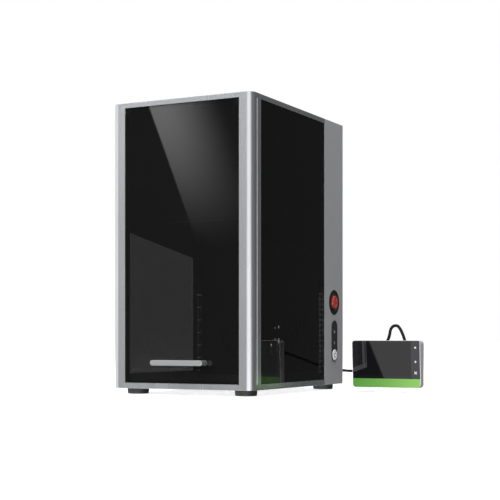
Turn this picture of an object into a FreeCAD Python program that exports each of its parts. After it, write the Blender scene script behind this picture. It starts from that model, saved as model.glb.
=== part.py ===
import FreeCAD, Part
import Sketcher
import math
import os
import re
from FreeCAD import Placement, Rotation, Vector

# Enclosed desktop laser cutter with its wired touch controller, in millimetres.
# The machine is drawn with X = 0 on its centre plane, Y = 0 on the front of its frame
# and Z = 0 on the bench.  Every node is then moved by the same frame shift, so that the
# origin lies at the bottom centre of the machine and its controller taken together.

DIMENSIONS = {
    # outer body and its silver frame
    "body_wide": 285, "body_deep": 399, "body_high": 516, "foot_high": 10.5,
    "front_round": 12, "rear_round": 1.5, "edge_round": 1.2,
    "rail_low": 10.2, "rail_top": 9.2, "rail_wide": 14, "skin": 2.5,
    "stile_wide": 26, "post_deep": 33, "post_leaf": 6, "post_lip": 9,
    "groove_front": 14, "groove_wide": 6, "groove_deep": 0.8, "cut_over": 5,
    "foot_radius": 19.8, "foot_chamfer": 3,
    "foot_inset_x": 31.3, "foot_inset_front": 37, "foot_inset_rear": 28,
    # side windows and rear housing
    "window_thick": 3, "window_inset": 0.6, "housing_front": 308, "housing_wall": 3,
    "panel_wide": 248, "panel_high": 480, "panel_thick": 2, "panel_lap": 6,
    "vent_long": 62, "vent_wide": 4, "vent_pitch": 9, "vent_count": 12,
    "vent_x": 50, "vent_low": 372, "screw_radius": 1.5, "screw_head": 2.8,
    "screw_crown": 0.6, "screw_flat": 1, "screw_margin": 2,
    # front door
    "door_gap": 1, "door_inset": 1.5, "glass_thick": 5, "door_band": 3, "band_thick": 4,
    "pin_radius": 2, "pin_drop": 6, "pin_bite": 8, "running_gap": 0.05,
    "pivot_wide": 10, "pivot_high": 14, "pin_start": 1,
    "handle_long": 106, "handle_high": 9.6, "handle_out": 18, "handle_low": 47,
    "handle_wall": 4, "handle_roof": 3, "handle_end": 14,
    # work chamber
    "deck_front": 12, "deck_top": 26, "deck_thick": 10, "deck_half": 136, "deck_skirt": 3,
    "bed_side": 220, "bed_thick": 8, "bed_middle": 170, "bed_hole": 2.5,
    "outer_grid": 200, "inner_grid": 100,
    "wall_front": 320, "wall_thick": 3,
    "slit_wide": 4, "slit_low": 58, "slit_high": 70, "slit_pitch": 8.3, "slit_count": 22,
    "scale_front": 283, "scale_rear": 312, "scale_thick": 2.5, "scale_top": 252,
    # upper cowl around the head
    "cowl_front": 46, "cowl_thick": 3, "ceiling_low": 305, "ceiling_thick": 8, "cowl_half": 134,
    "cowl_round": 2.5, "recess_deep": 5, "recess_margin": 26, "recess_round": 22,
    "cheek_front": 31, "cheek_front_low": 288, "cheek_thick": 2.5,
    "lamp_half": 60, "lamp_front": 53, "lamp_deep": 8, "lamp_thick": 4,
    # lifting head
    "head_half": 42, "head_front": 160, "head_rear": 300, "head_low": 274, "head_high": 122,
    "head_wall": 3, "head_round": 8, "head_gap": 4,
    "lens_y": 206, "lens_radius": 30, "flange_radius": 36, "flange_thick": 11,
    "nose_low": 6, "nose_chamfer": 1.5, "dish_rim": 5, "dish_floor": 8, "dish_deep": 3.5,
    "carriage_half": 64, "carriage_low": 316, "carriage_high": 76, "carriage_thick": 8,
    "arm_near": 36, "arm_rear": 360, "rod_x": 50, "rod_y": 346, "rod_radius": 5,
    "bearing_radius": 9.5, "bearing_long": 29, "screw_rod": 4, "nut_radius": 7, "nut_low": 352,
    "nut_arm_half": 14, "nut_arm_high": 14, "nut_flange": 11, "nut_flange_thick": 3.5,
    "bracket_half": 72, "bracket_front": 325, "spine_front": 368, "bracket_thick": 6,
    "bracket_top_low": 498, "spine_half": 100, "spine_low": 150, "spine_thick": 3,
    "motor_side": 42.3, "motor_high": 40, "motor_chamfer": 4, "motor_boss": 11, "boss_high": 2,
    "shaft_radius": 2.5, "shaft_bite": 10, "shaft_long": 18, "shaft_hole": 16,
    "coupler_radius": 9, "coupler_long": 23, "shaft_end": 3,
    "camera_x": 31, "camera_y": 171, "camera_nose": 5, "camera_half": 6.5, "camera_high": 16,
    "camera_eye": 3.6, "camera_pupil": 2.4, "camera_dish": 1.5,
    # beam steering
    "galvo_x": -22, "beam_low": 312, "galvo_front": 188, "galvo_rear": 225,
    "galvo_motor_radius": 9, "galvo_motor_long": 40, "galvo_motor_round": 3, "galvo_shaft": 2,
    "galvo_shaft_long": 20, "galvo_wall": 5, "galvo_left": 16, "galvo_right": 20, "galvo_roof": 18,
    "beam_bore": 5, "shaft_bore": 4, "mirror_long": 17, "mirror_narrow": 14, "mirror_broad": 18,
    "mirror_thick": 2, "mirror_drop": 9, "clip_high": 8, "mirror_angle": 45,
    # laser source
    "source_half": 37, "source_gap": 3, "source_end": 6, "source_lift": 13, "source_high": 52,
    "fin_high": 12, "fin_wide": 2, "fin_pitch": 10, "fin_count": 8, "fin_inset": 2,
    "snout_half": 7, "snout_long": 30,
    # exhaust
    "fan_side": 92, "fan_thick": 25, "fan_centre": 93, "fan_bore": 43, "fan_round": 5,
    "fan_floor": 4, "strut_half": 3, "hub_plate": 16, "hub_radius": 15, "hub_chamfer": 2,
    "hub_long": 13, "hub_start": 3, "hub_shaft": 6, "shaft_well": 5, "blade_wide": 20,
    "blade_thick": 1.6, "blade_pitch": 38, "blade_middle": 11, "tip_gap": 1,
    "blade_count": 7, "collar_radius": 38, "collar_inner": 36, "collar_out": 25,
    "collar_ridge": 40.5, "collar_ridge_thick": 2, "collar_flange": 3,
    # electrics
    "supply_x": -130, "supply_wide": 74, "supply_high": 200, "supply_deep": 38,
    "board_x": 50, "board_wide": 54, "board_high": 190, "board_thick": 1.6,
    "supply_gap": 3, "supply_lift": 14, "board_gap": 5, "board_lift": 24,
    "inlet_x": -86, "inlet_z": 50, "inlet_half": 24, "inlet_rise": 14, "inlet_deep": 28,
    "flange_half": 30, "flange_rise": 17, "flange_out": 2,
    "socket_x": -9, "socket_half": 12, "socket_rise": 8, "socket_deep": 16,
    "blade_half": 1, "blade_rise": 2, "blade_short": 4,
    "opening_x": 15, "opening_half": 6, "opening_rise": 10, "opening_deep": 12,
    "rocker_radius": 9.4, "rocker_long": 11.4, "rocker_sink": 1, "rocker_lean": 10, "waste": 20,
    "gland_x": 112, "gland_z": 29.5, "gland_flange": 7.5, "gland_flange_thick": 4,
    "gland_thread": 5, "gland_root": 8, "gland_shoulder": 7, "gland_neck": 4.5, "gland_cone": 10,
    "gland_lip": 3, "gland_bite": 6,
    # side controls
    "control_y": 354, "stop_z": 161, "stop_radius": 24.5, "stop_thick": 0.8, "stop_case": 17,
    "stop_well": 14, "stop_sink": 5, "stop_long": 28,
    "stop_chamfer": 0.4, "stop_button": 13, "stop_round": 1.5, "stop_under": -1.2, "stop_high": 5,
    "stop_stem": 6, "stop_stem_inset": 8, "stop_pivot": 3, "stop_pivot_gap": 0.3,
    "strip_z": 85, "strip_long": 81, "strip_wide": 26, "strip_thick": 1.5,
    "power_z": 57.6, "power_radius": 10.4, "power_proud": 1.4, "power_clear": 0.5,
    "power_root": 2, "power_chamfer": 0.6, "strip_round": 0.5,
    # wired controller
    "controller_gap": 74.5, "controller_wide": 134.5, "controller_high": 88,
    "controller_front": 265, "controller_low": 9, "controller_top_deep": 23,
    "controller_foot_deep": 18, "controller_round": 7, "controller_soft": 3,
    "face_thick": 1.5, "face_margin": 1, "pad_long": 26, "pad_inset": 12, "pad_front": 8, "pad_deep": 12,
    "bar_high": 17, "plug_x": 313, "plug_y": 295, "plug_low": 40, "plug_half": 7, "plug_high": 14,
    "plug_deep": 13, "relief_wide": 5.5, "relief_slim": 4, "relief_high": 6, "relief_lip": 2,
    "cable_radius": 2.8,
}

doc = FreeCAD.newDocument("LaserCutter")
sheet = doc.addObject("Spreadsheet::Sheet", "Dims")
for row, (alias, value) in enumerate(DIMENSIONS.items(), start=1):
    sheet.set(f"A{row}", alias)
    sheet.set(f"B{row}", str(value))
    sheet.setAlias(f"B{row}", alias)
doc.recompute()

# Places worked out from the driving dimensions.
HALF = "body_wide / 2"
BODY_LOW = "foot_high"
BODY_TOP = "foot_high + body_high"
FRAME_LOW = "foot_high + rail_low"
FRAME_TOP = "foot_high + body_high - rail_top"
DOOR_LOW = "foot_high + rail_low + door_gap"
DOOR_TOP = "foot_high + body_high - rail_top - door_gap"
DOOR_HALF = "body_wide / 2 - stile_wide - door_gap"
DOOR_AXIS_Y = "door_inset + glass_thick / 2"
DOOR_AXIS_Z = f"{DOOR_TOP} - pin_drop"
WINDOW_FACE = "body_wide / 2 - window_inset"
CEILING = "foot_high + ceiling_low"
HEAD_LOW = "foot_high + head_low"
PANEL_BACK = "body_deep + panel_thick"
CONTROLLER_LEFT = "body_wide / 2 + controller_gap"
SHIFT_X = "-(controller_gap + controller_wide) / 2"
SHIFT_Y = "-(body_deep + panel_thick + collar_out - handle_out) / 2"

# The right control face and its outward direction.
SIDE = "body_wide / 2"
SIGNS = (("left", -1), ("right", 1))
DIRECTIONS = {
    "+x": Vector(1, 0, 0), "-x": Vector(-1, 0, 0), "+y": Vector(0, 1, 0),
    "-y": Vector(0, -1, 0), "+z": Vector(0, 0, 1), "-z": Vector(0, 0, -1),
}

nodes = {}


# ---------------------------------------------------------------- helpers

def formula(text):
    """An expression in which each driving dimension is read from the sheet."""
    return re.sub(r"[a-z][a-z0-9_]*", lambda word: sheet_name(word.group()), str(text))


def sheet_name(word):
    return f"Dims.{word}" if word in DIMENSIONS else word


def size(alias):
    return float(sheet.get(alias))


def bind(item, **formulas):
    for name, text in formulas.items():
        item.setExpression(name.replace("__", "."), formula(text))
    return item


def locate(item, x, y, z):
    return bind(item, Placement__Base__x=x, Placement__Base__y=y, Placement__Base__z=z)


def node(name, item):
    """Register a sub-part under its file name and move it into the row's frame."""
    if item.TypeId in ("Part::Box", "Part::Cylinder"):
        item = group(item)
    item.Label = name
    bind(item, Placement__Base__x=SHIFT_X, Placement__Base__y=SHIFT_Y)
    nodes[name] = item
    return item


def block(low, high):
    item = doc.addObject("Part::Box", "Block")
    lengths = [f"({b}) - ({a})" for a, b in zip(low, high)]
    bind(item, Length=lengths[0], Width=lengths[1], Height=lengths[2])
    return locate(item, *low)


def rod(way, start, radius, length):
    item = doc.addObject("Part::Cylinder", "Rod")
    item.Placement = Placement(Vector(), Rotation(Vector(0, 0, 1), DIRECTIONS[way]))
    bind(item, Radius=radius, Height=length)
    return locate(item, *start)


def taper(way, start, radius, end_radius, length):
    item = doc.addObject("Part::Cone", "Taper")
    item.Placement = Placement(Vector(), Rotation(Vector(0, 0, 1), DIRECTIONS[way]))
    bind(item, Radius1=radius, Radius2=end_radius, Height=length)
    return locate(item, *start)


def fuse(*items):
    if len(items) == 1:
        return items[0]
    item = doc.addObject("Part::MultiFuse", "Fused")
    item.Shapes = list(items)
    item.Refine = True
    return item


def cut(base, *tools):
    item = doc.addObject("Part::Cut", "CutPiece")
    item.Base = base
    item.Tool = fuse(*tools)
    item.Refine = True
    return item


def common(base, tool):
    item = doc.addObject("Part::Common", "Shared")
    item.Base = base
    item.Tool = tool
    return item


def group(*items):
    item = doc.addObject("Part::Compound", "Group")
    item.Links = list(items)
    return item


def turned(way, start, steps):
    """Turned stock: (radius, end radius, length) steps, one after another along a direction."""
    pieces = []
    done = "0"
    direction = DIRECTIONS[way]
    for radius, end_radius, length in steps:
        at = [f"{s} + ({int(d)}) * ({done})" for s, d in zip(start, direction)]
        if radius == end_radius:
            pieces.append(rod(way, at, radius, length))
        else:
            pieces.append(taper(way, at, radius, end_radius, length))
        done = f"{done} + {length}"
    return fuse(*pieces)


def new_body():
    return doc.addObject("PartDesign::Body", "Body")


def sketch_on(body, plane, centre):
    """A sketch on one of the body's own origin planes, with its origin moved to centre."""
    sketch = body.newObject("Sketcher::SketchObject", "Sketch")
    support = next(f for f in body.Origin.OriginFeatures if f.Role == plane)
    sketch.AttachmentSupport = [(support, "")]
    sketch.MapMode = "FlatFace"
    x, y, z = centre
    along = {"XY_Plane": (x, y, z), "XZ_Plane": (x, z, f"-({y})"), "YZ_Plane": (y, z, x)}[plane]
    bind(sketch, AttachmentOffset__Base__x=along[0], AttachmentOffset__Base__y=along[1],
         AttachmentOffset__Base__z=along[2])
    return sketch


def dimension(sketch, kind, *where, text, value=10.0):
    index = sketch.addConstraint(constraint(kind, *where, value))
    sketch.setExpression(f"Constraints[{index}]", formula(text))


def constraint(kind, *where):
    return Sketcher.Constraint(kind, *where)


def rectangle(sketch, wide, high):
    """A rectangle centred on the sketch's origin."""
    corners = [Vector(-5, -5, 0), Vector(5, -5, 0), Vector(5, 5, 0), Vector(-5, 5, 0)]
    for index in range(4):
        sketch.addGeometry(Part.LineSegment(corners[index], corners[(index + 1) % 4]))
    for index in range(4):
        sketch.addConstraint(constraint("Coincident", index, 2, (index + 1) % 4, 1))
        sketch.addConstraint(constraint("Vertical" if index % 2 else "Horizontal", index))
    sketch.addConstraint(constraint("Symmetric", 0, 1, 2, 1, -1, 1))
    dimension(sketch, "DistanceX", 0, 1, 0, 2, text=wide)
    dimension(sketch, "DistanceY", 1, 1, 1, 2, text=high)
    return sketch


def disc(sketch, radius):
    sketch.addGeometry(Part.Circle(Vector(), Vector(0, 0, 1), 5))
    sketch.addConstraint(constraint("Coincident", 0, 3, -1, 1))
    dimension(sketch, "Radius", 0, text=radius, value=5.0)
    return sketch


def outline(sketch, points):
    """A closed polygon whose corners are held by their distances from the origin."""
    values = [[evaluate(text) for text in point] for point in points]
    count = len(points)
    for index in range(count):
        start = Vector(*values[index], 0)
        end = Vector(*values[(index + 1) % count], 0)
        sketch.addGeometry(Part.LineSegment(start, end))
    for index in range(count):
        sketch.addConstraint(constraint("Coincident", index, 2, (index + 1) % count, 1))
    for index, (across, up) in enumerate(points):
        for kind, text, value in zip(("DistanceX", "DistanceY"), (across, up), values[index]):
            dimension(sketch, kind, -1, 1, index, 1, text=text, value=value)
    return sketch


def evaluate(text):
    """The present value of an expression in driving dimensions."""
    numbers = re.sub(r"[a-z][a-z0-9_]*", lambda word: plain(word.group()), str(text))
    return float(sheet.evalExpression(numbers))


def plain(word):
    return repr(size(word)) if word in DIMENSIONS else word


def pad(body, sketch, length, reverse=False):
    feature = body.newObject("PartDesign::Pad", "Pad")
    feature.Profile = sketch
    feature.Reversed = reverse
    bind(feature, Length=length)
    return feature


def pocket(body, sketch, length, reverse=False):
    feature = body.newObject("PartDesign::Pocket", "Pocket")
    feature.Profile = sketch
    feature.Reversed = reverse
    bind(feature, Length=length)
    return feature


def through(body, sketch):
    """A pocket right through the body, both ways from its sketch."""
    feature = body.newObject("PartDesign::Pocket", "Through")
    feature.Profile = sketch
    feature.SideType = "Symmetric"
    feature.Type = "ThroughAll"
    return feature


def dress(body, kind, feature, edges, prop, amount):
    """A fillet or chamfer on the edges that a test picks out."""
    doc.recompute()
    names = [f"Edge{i}" for i, edge in enumerate(feature.Shape.Edges, start=1) if edges(edge)]
    if not names:
        raise RuntimeError(f"no edge to dress on {body.Name}")
    item = body.newObject(f"PartDesign::{kind}", kind)
    item.Base = (feature, names)
    item.setExpression(prop, formula(amount))
    return item


def fillet(body, feature, radius, edges):
    return dress(body, "Fillet", feature, edges, "Radius", radius)


def chamfer(body, feature, amount, edges):
    return dress(body, "Chamfer", feature, edges, "Size", amount)


def spans(edge):
    box = edge.BoundBox
    return box.XLength, box.YLength, box.ZLength


def is_upright(edge):
    x, y, z = spans(edge)
    return z > 1 and x < 0.01 and y < 0.01


def repeat(body, feature, role, step, count):
    """A row of equal features along one of the body's axes."""
    row = body.newObject("PartDesign::LinearPattern", "Row")
    axis = next(f for f in body.Origin.OriginFeatures if f.Role == role)
    row.Originals = [feature]
    row.Direction = (axis, [""])
    row.Mode = "Spacing"
    bind(row, Offset=step, Occurrences=count)
    body.Tip = row
    return row


def plate(low, high):
    """A PartDesign plate, given by two opposite corners."""
    body = new_body()
    centre = [f"(({a}) + ({b})) / 2" for a, b in zip(low, high)]
    sketch = sketch_on(body, "XY_Plane", (centre[0], centre[1], low[2]))
    rectangle(sketch, f"({high[0]}) - ({low[0]})", f"({high[1]}) - ({low[1]})")
    return body, pad(body, sketch, f"({high[2]}) - ({low[2]})")


# ---------------------------------------------------------------- frame and shell

def on_rim(edge, rim):
    """True for a level edge at the height rim that doesn't meet the next shell."""
    box = edge.BoundBox
    seam = evaluate("housing_front")
    meets = abs(box.YMin - seam) < 0.01 and abs(box.YMax - seam) < 0.01
    return box.ZLength < 0.01 and abs(box.ZMin - rim) < 0.01 and not meets


def rounded_tray(low, high, pocket_depth, upward, outer_rim):
    """Base pan or top cover: a plate with round front corners and one wide pocket."""
    body, solid = plate((f"-{HALF}", "0", low), (HALF, "housing_front", high))
    middle = evaluate("housing_front / 2")
    front = fillet(body, solid, "front_round", lambda e: is_upright(e) and e.BoundBox.YMax < middle)
    rim = evaluate(outer_rim)
    fillet(body, front, "edge_round", lambda e: on_rim(e, rim))
    hollow = sketch_on(body, "XY_Plane", ("0", "housing_front / 2", low if upward else high))
    rectangle(hollow, "body_wide - 2 * rail_wide", "housing_front - 2 * rail_wide")
    pocket(body, hollow, pocket_depth, reverse=upward)
    return body


def make_base_pan():
    node("base_pan", rounded_tray(BODY_LOW, FRAME_LOW, "rail_low - skin", False, BODY_LOW))


def make_top_cover():
    node("top_cover", rounded_tray(FRAME_TOP, BODY_TOP, "rail_top - skin", True, BODY_TOP))


def make_front_post(side, sign):
    """Extruded corner post: a round outer corner, a groove down its side and the hinge pin's hole."""
    inner = f"{sign} * ({HALF} - stile_wide)"
    outer = f"{sign} * ({HALF})"
    low, high = sorted((inner, outer), key=evaluate)
    body, solid = plate((low, "0", FRAME_LOW), (high, "post_deep", FRAME_TOP))
    corner = evaluate(outer)
    round_edge = fillet(body, solid, "front_round",
                        lambda e: is_upright(e) and abs(e.BoundBox.XMin - corner) < 0.01
                        and e.BoundBox.YMax < 1)
    hollow_middle = f"{sign} * ({HALF} - (stile_wide + post_leaf) / 2)"
    hollow = sketch_on(body, "XY_Plane", (hollow_middle, "(post_deep + post_lip) / 2 + cut_over", FRAME_TOP))
    rectangle(hollow, "stile_wide - post_leaf", "post_deep - post_lip + 2 * cut_over")
    pocket(body, hollow, "body_high")
    groove = sketch_on(body, "XY_Plane", (outer, "groove_front + groove_wide / 2", FRAME_TOP))
    rectangle(groove, "2 * groove_deep", "groove_wide")
    pocket(body, groove, "body_high")
    bore = sketch_on(body, "YZ_Plane", (inner, DOOR_AXIS_Y, DOOR_AXIS_Z))
    disc(bore, "pin_radius")
    pocket(body, bore, "pin_bite", reverse=sign > 0)
    node(f"front_post_{side}", body)


def make_side_window(side, sign):
    faces = (f"{sign} * ({WINDOW_FACE})", f"{sign} * ({WINDOW_FACE} - window_thick)")
    low, high = sorted(faces, key=evaluate)
    body, _ = plate((low, "post_deep", FRAME_LOW), (high, "housing_front", FRAME_TOP))
    node(f"side_window_{side}", body)


def rear_openings(body):
    """Openings in the right wall for the stop switch and the control strip."""
    stop = sketch_on(body, "YZ_Plane", (SIDE, "control_y", "foot_high + stop_z"))
    disc(stop, "stop_case")
    pocket(body, stop, "2 * housing_wall")
    power = sketch_on(body, "YZ_Plane", (SIDE, "control_y", "foot_high + power_z"))
    disc(power, "power_radius + power_clear")
    pocket(body, power, "2 * housing_wall")


def make_rear_housing():
    """Full-height rear shell, open to the front, with round rear corners."""
    body, solid = plate((f"-{HALF}", "housing_front", BODY_LOW), (HALF, "body_deep", BODY_TOP))
    corners = fillet(body, solid, "rear_round",
                     lambda e: is_upright(e) and e.BoundBox.YMin > evaluate("body_deep") - 1)
    top = evaluate(BODY_TOP)
    bottom = evaluate(BODY_LOW)
    upper = fillet(body, corners, "edge_round", lambda e: on_rim(e, top))
    fillet(body, upper, "edge_round", lambda e: on_rim(e, bottom))
    hollow = sketch_on(body, "XZ_Plane", ("0", "housing_front", "foot_high + body_high / 2"))
    rectangle(hollow, "body_wide - 2 * housing_wall", "body_high - 2 * skin")
    pocket(body, hollow, "body_deep - housing_front - housing_wall")
    back = sketch_on(body, "XZ_Plane", ("0", "body_deep", "foot_high + body_high / 2"))
    rectangle(back, "panel_wide - 2 * panel_lap", "panel_high - 2 * panel_lap")
    pocket(body, back, "2 * housing_wall", reverse=True)
    rear_openings(body)
    screw_holes(body, "body_deep", "2 * housing_wall")
    node("rear_housing", body)


def screw_places():
    """Eight screws round the service panel, four down each long side."""
    for sign in (-1, 1):
        for step in (-3, -1, 1, 3):
            x = f"{sign} * (panel_wide / 2 - panel_lap / 2)"
            z = f"foot_high + body_high / 2 + {step} * (panel_high / 6 - screw_margin)"
            yield x, z


def screw_holes(body, face, depth):
    for x, z in screw_places():
        hole = sketch_on(body, "XZ_Plane", (x, face, z))
        disc(hole, "screw_radius")
        pocket(body, hole, depth, reverse=True)


def make_panel_screws():
    screws = []
    for x, z in screw_places():
        screws.append(turned("-y", (x, f"{PANEL_BACK} + screw_crown + screw_flat", z), (
            ("screw_head - screw_crown", "screw_head", "screw_crown"),
            ("screw_head", "screw_head", "screw_flat"),
            ("screw_radius", "screw_radius", "panel_thick + housing_wall"))))
    node("panel_screws", group(*screws))


def vent_row(body, x, z_low):
    slot = sketch_on(body, "XZ_Plane", (x, PANEL_BACK, z_low))
    rectangle(slot, "vent_long", "vent_wide")
    first = pocket(body, slot, "2 * panel_thick", reverse=True)
    return repeat(body, first, "Z_Axis", "vent_pitch", "vent_count")


def make_rear_panel():
    """Service panel with its air vents and the holes for the duct, the inlet and the cable."""
    low = "foot_high + (body_high - panel_high) / 2"
    body, _ = plate(("-panel_wide / 2", "body_deep", low),
                    ("panel_wide / 2", PANEL_BACK, f"{low} + panel_high"))
    duct = sketch_on(body, "XZ_Plane", ("0", PANEL_BACK, "foot_high + fan_centre"))
    disc(duct, "collar_radius")
    pocket(body, duct, "2 * panel_thick", reverse=True)
    inlet = sketch_on(body, "XZ_Plane", ("inlet_x", PANEL_BACK, "foot_high + inlet_z"))
    rectangle(inlet, "2 * inlet_half", "2 * inlet_rise")
    pocket(body, inlet, "2 * panel_thick", reverse=True)
    cable = sketch_on(body, "XZ_Plane", ("gland_x", PANEL_BACK, "foot_high + gland_z"))
    disc(cable, "gland_thread")
    pocket(body, cable, "2 * panel_thick", reverse=True)
    screw_holes(body, PANEL_BACK, "2 * panel_thick")
    vent_row(body, "-vent_x", "foot_high + vent_low")
    vent_row(body, "vent_x", "foot_high + vent_low")
    node("rear_panel", body)


def make_feet():
    feet = []
    for sign in (-1, 1):
        for y in ("foot_inset_front", "body_deep - foot_inset_rear"):
            start = (f"{sign} * ({HALF} - foot_inset_x)", y, "0")
            feet.append(turned("+z", start, (
                ("foot_radius - foot_chamfer", "foot_radius", "foot_chamfer"),
                ("foot_radius", "foot_radius", "foot_high - foot_chamfer"))))
    node("feet", group(*feet))


# ---------------------------------------------------------------- door

def make_door():
    low = (f"-({DOOR_HALF})", "door_inset", DOOR_LOW)
    high = (DOOR_HALF, "door_inset + glass_thick", DOOR_TOP)
    body, _ = plate(low, high)
    for sign in (-1, 1):
        notch = sketch_on(body, "XZ_Plane", (f"{sign} * ({DOOR_HALF})", DOOR_AXIS_Y, DOOR_TOP))
        rectangle(notch, "2 * pivot_wide", "2 * pivot_high")
        through(body, notch)
    node("door_glass", body)

    band_back = "door_inset + glass_thick + band_thick"
    frame, _ = plate((low[0], "door_inset + glass_thick", low[2]), (high[0], band_back, high[2]))
    window = sketch_on(frame, "XZ_Plane", ("0", "door_inset", f"({DOOR_LOW} + {DOOR_TOP}) / 2"))
    rectangle(window, f"2 * ({DOOR_HALF} - door_band)",
              f"{DOOR_TOP} - ({DOOR_LOW}) - 2 * door_band")
    through(frame, window)
    node("door_frame", frame)

    pivots = []
    for sign in (-1, 1):
        ends = (f"{sign} * ({DOOR_HALF})", f"{sign} * ({DOOR_HALF} - pivot_wide)")
        low_x, high_x = sorted(ends, key=evaluate)
        solid = block((low_x, "door_inset", f"{DOOR_TOP} - pivot_high"),
                      (high_x, "door_inset + glass_thick", DOOR_TOP))
        bore = rod("+x", (low_x, DOOR_AXIS_Y, DOOR_AXIS_Z), "pin_radius + running_gap", "pivot_wide")
        pivots.append(cut(solid, bore))
    node("door_pivots", group(*pivots))

    pins = []
    for sign in (-1, 1):
        far = f"{sign} * ({HALF} - stile_wide + pin_bite)"
        near = f"{sign} * ({DOOR_HALF} - pivot_wide + pin_start)"
        low_x, high_x = sorted((far, near), key=evaluate)
        pins.append(rod("+x", (low_x, DOOR_AXIS_Y, DOOR_AXIS_Z), "pin_radius", f"{high_x} - ({low_x})"))
    node("hinge_pins", group(*pins))


def make_door_handle():
    """A solid bar with round ends and a finger recess in its underside."""
    height = "foot_high + handle_low"
    body = new_body()
    bar = sketch_on(body, "XZ_Plane", ("0", "-handle_out", height))
    stadium(bar, "handle_long", "handle_high")
    solid = pad(body, bar, "handle_out + door_inset", reverse=True)
    front = -evaluate("handle_out")
    fillet(body, solid, "edge_round", lambda e: abs(e.BoundBox.YMax - front) < 0.01)
    under = f"{height} - handle_high / 2"
    recess = sketch_on(body, "XY_Plane", ("0", "(door_inset - handle_out) / 2", under))
    rectangle(recess, "handle_long - 2 * handle_end", "handle_out + door_inset - 2 * handle_wall")
    pocket(body, recess, "handle_high - handle_roof", reverse=True)
    node("door_handle", body)


def stadium(sketch, long, wide, upright=False):
    """A slot shape centred on the sketch's origin, lying along its X or standing along its Y."""
    radius = evaluate(wide) / 2
    reach = evaluate(long) / 2 - radius
    along, across = Vector(reach, 0, 0), Vector(0, radius, 0)
    if upright:
        along, across = Vector(0, reach, 0), Vector(-radius, 0, 0)
    quarter = math.pi / 2
    start = 0 if upright else -quarter
    end_circles = [Part.Circle(sign * along, Vector(0, 0, 1), radius) for sign in (1, -1)]
    sketch.addGeometry(Part.LineSegment(-along - across, along - across))
    sketch.addGeometry(Part.ArcOfCircle(end_circles[0], start, start + 2 * quarter))
    sketch.addGeometry(Part.LineSegment(along + across, -along + across))
    sketch.addGeometry(Part.ArcOfCircle(end_circles[1], start + 2 * quarter, start + 4 * quarter))
    for index in range(4):
        sketch.addConstraint(constraint("Tangent", index, 2, (index + 1) % 4, 1))
    sketch.addConstraint(constraint("Vertical" if upright else "Horizontal", 0))
    sketch.addConstraint(constraint("Symmetric", 1, 3, 3, 3, -1, 1))
    dimension(sketch, "Radius", 1, text=f"({wide}) / 2", value=radius)
    way = "DistanceY" if upright else "DistanceX"
    dimension(sketch, way, 3, 3, 1, 3, text=f"({long}) - ({wide})", value=2 * reach)
    return sketch


# ---------------------------------------------------------------- work chamber

def make_deck():
    deck = "foot_high + deck_top"
    body, _ = plate(("-deck_half", "deck_front", FRAME_LOW), ("deck_half", "wall_front", deck))
    under = sketch_on(body, "XY_Plane", ("0", "(deck_front + wall_front) / 2", FRAME_LOW))
    rectangle(under, "2 * (deck_half - deck_skirt)", "wall_front - deck_front - 2 * deck_skirt")
    pocket(body, under, "deck_top - rail_low - deck_thick", reverse=True)
    seat = sketch_on(body, "XY_Plane", ("0", "bed_middle", deck))
    rectangle(seat, "bed_side", "bed_side")
    pocket(body, seat, "bed_thick")
    node("deck_tray", body)


def make_bed():
    """Fixture plate with two squares of threaded holes."""
    low = "foot_high + deck_top - bed_thick"
    body, _ = plate(("-bed_side / 2", "bed_middle - bed_side / 2", low),
                    ("bed_side / 2", "bed_middle + bed_side / 2", f"{low} + bed_thick"))
    for spacing in ("outer_grid", "inner_grid"):
        for across, along in ((-1, -1), (-1, 1), (1, -1), (1, 1)):
            hole = sketch_on(body, "XY_Plane", (f"{across} * {spacing} / 2",
                                                f"bed_middle + {along} * {spacing} / 2", low))
            disc(hole, "bed_hole")
            through(body, hole)
    node("bed_plate", body)


def make_chamber_wall():
    body, _ = plate(("-deck_half", "wall_front", FRAME_LOW),
                    ("deck_half", "wall_front + wall_thick", CEILING))
    slit = sketch_on(body, "XZ_Plane", ("-slit_pitch * (slit_count - 1) / 2", "wall_front",
                                        "foot_high + slit_low + slit_high / 2"))
    rectangle(slit, "slit_wide", "slit_high")
    first = pocket(body, slit, "2 * wall_thick")
    repeat(body, first, "X_Axis", "slit_pitch", "slit_count")
    node("chamber_wall", body)


def make_scale_strip(side, sign):
    faces = (f"{sign} * deck_half", f"{sign} * (deck_half - scale_thick)")
    low, high = sorted(faces, key=evaluate)
    body, _ = plate((low, "scale_front", "foot_high + deck_top"),
                    (high, "scale_rear", "foot_high + scale_top"))
    node(f"scale_strip_{side}", body)


def make_cowl():
    body, _ = plate(("-cowl_half", "cowl_front", CEILING),
                    ("cowl_half", "cowl_front + cowl_thick", FRAME_TOP))
    low_edge = evaluate(CEILING)
    fillet(body, body.Tip, "cowl_round",
           lambda e: spans(e)[0] > 10 and abs(e.BoundBox.ZMax - low_edge) < 0.01
           and e.BoundBox.YMax < evaluate("cowl_front") + 0.01)
    node("cowl_front", body)

    back = "cowl_front + cowl_thick"
    ceiling, _ = plate(("-cowl_half", back, CEILING),
                       ("cowl_half", "wall_front", f"{CEILING} + ceiling_thick"))
    recess = sketch_on(ceiling, "XY_Plane", ("0", f"({back} + wall_front) / 2", CEILING))
    rectangle(recess, "2 * (cowl_half - recess_margin)",
              f"wall_front - ({back}) - 2 * recess_margin")
    hollow = pocket(ceiling, recess, "recess_deep", reverse=True)
    inner = evaluate("cowl_half - recess_margin")
    fillet(ceiling, hollow, "recess_round",
           lambda e: is_upright(e) and abs(abs(e.BoundBox.XMin) - inner) < 0.01)
    opening = sketch_on(ceiling, "XY_Plane", ("0", "(head_front + head_rear) / 2 + head_gap", CEILING))
    rectangle(opening, "2 * (head_half + head_gap)", "head_rear - head_front + 4 * head_gap")
    through(ceiling, opening)
    node("cowl_ceiling", ceiling)


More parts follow.
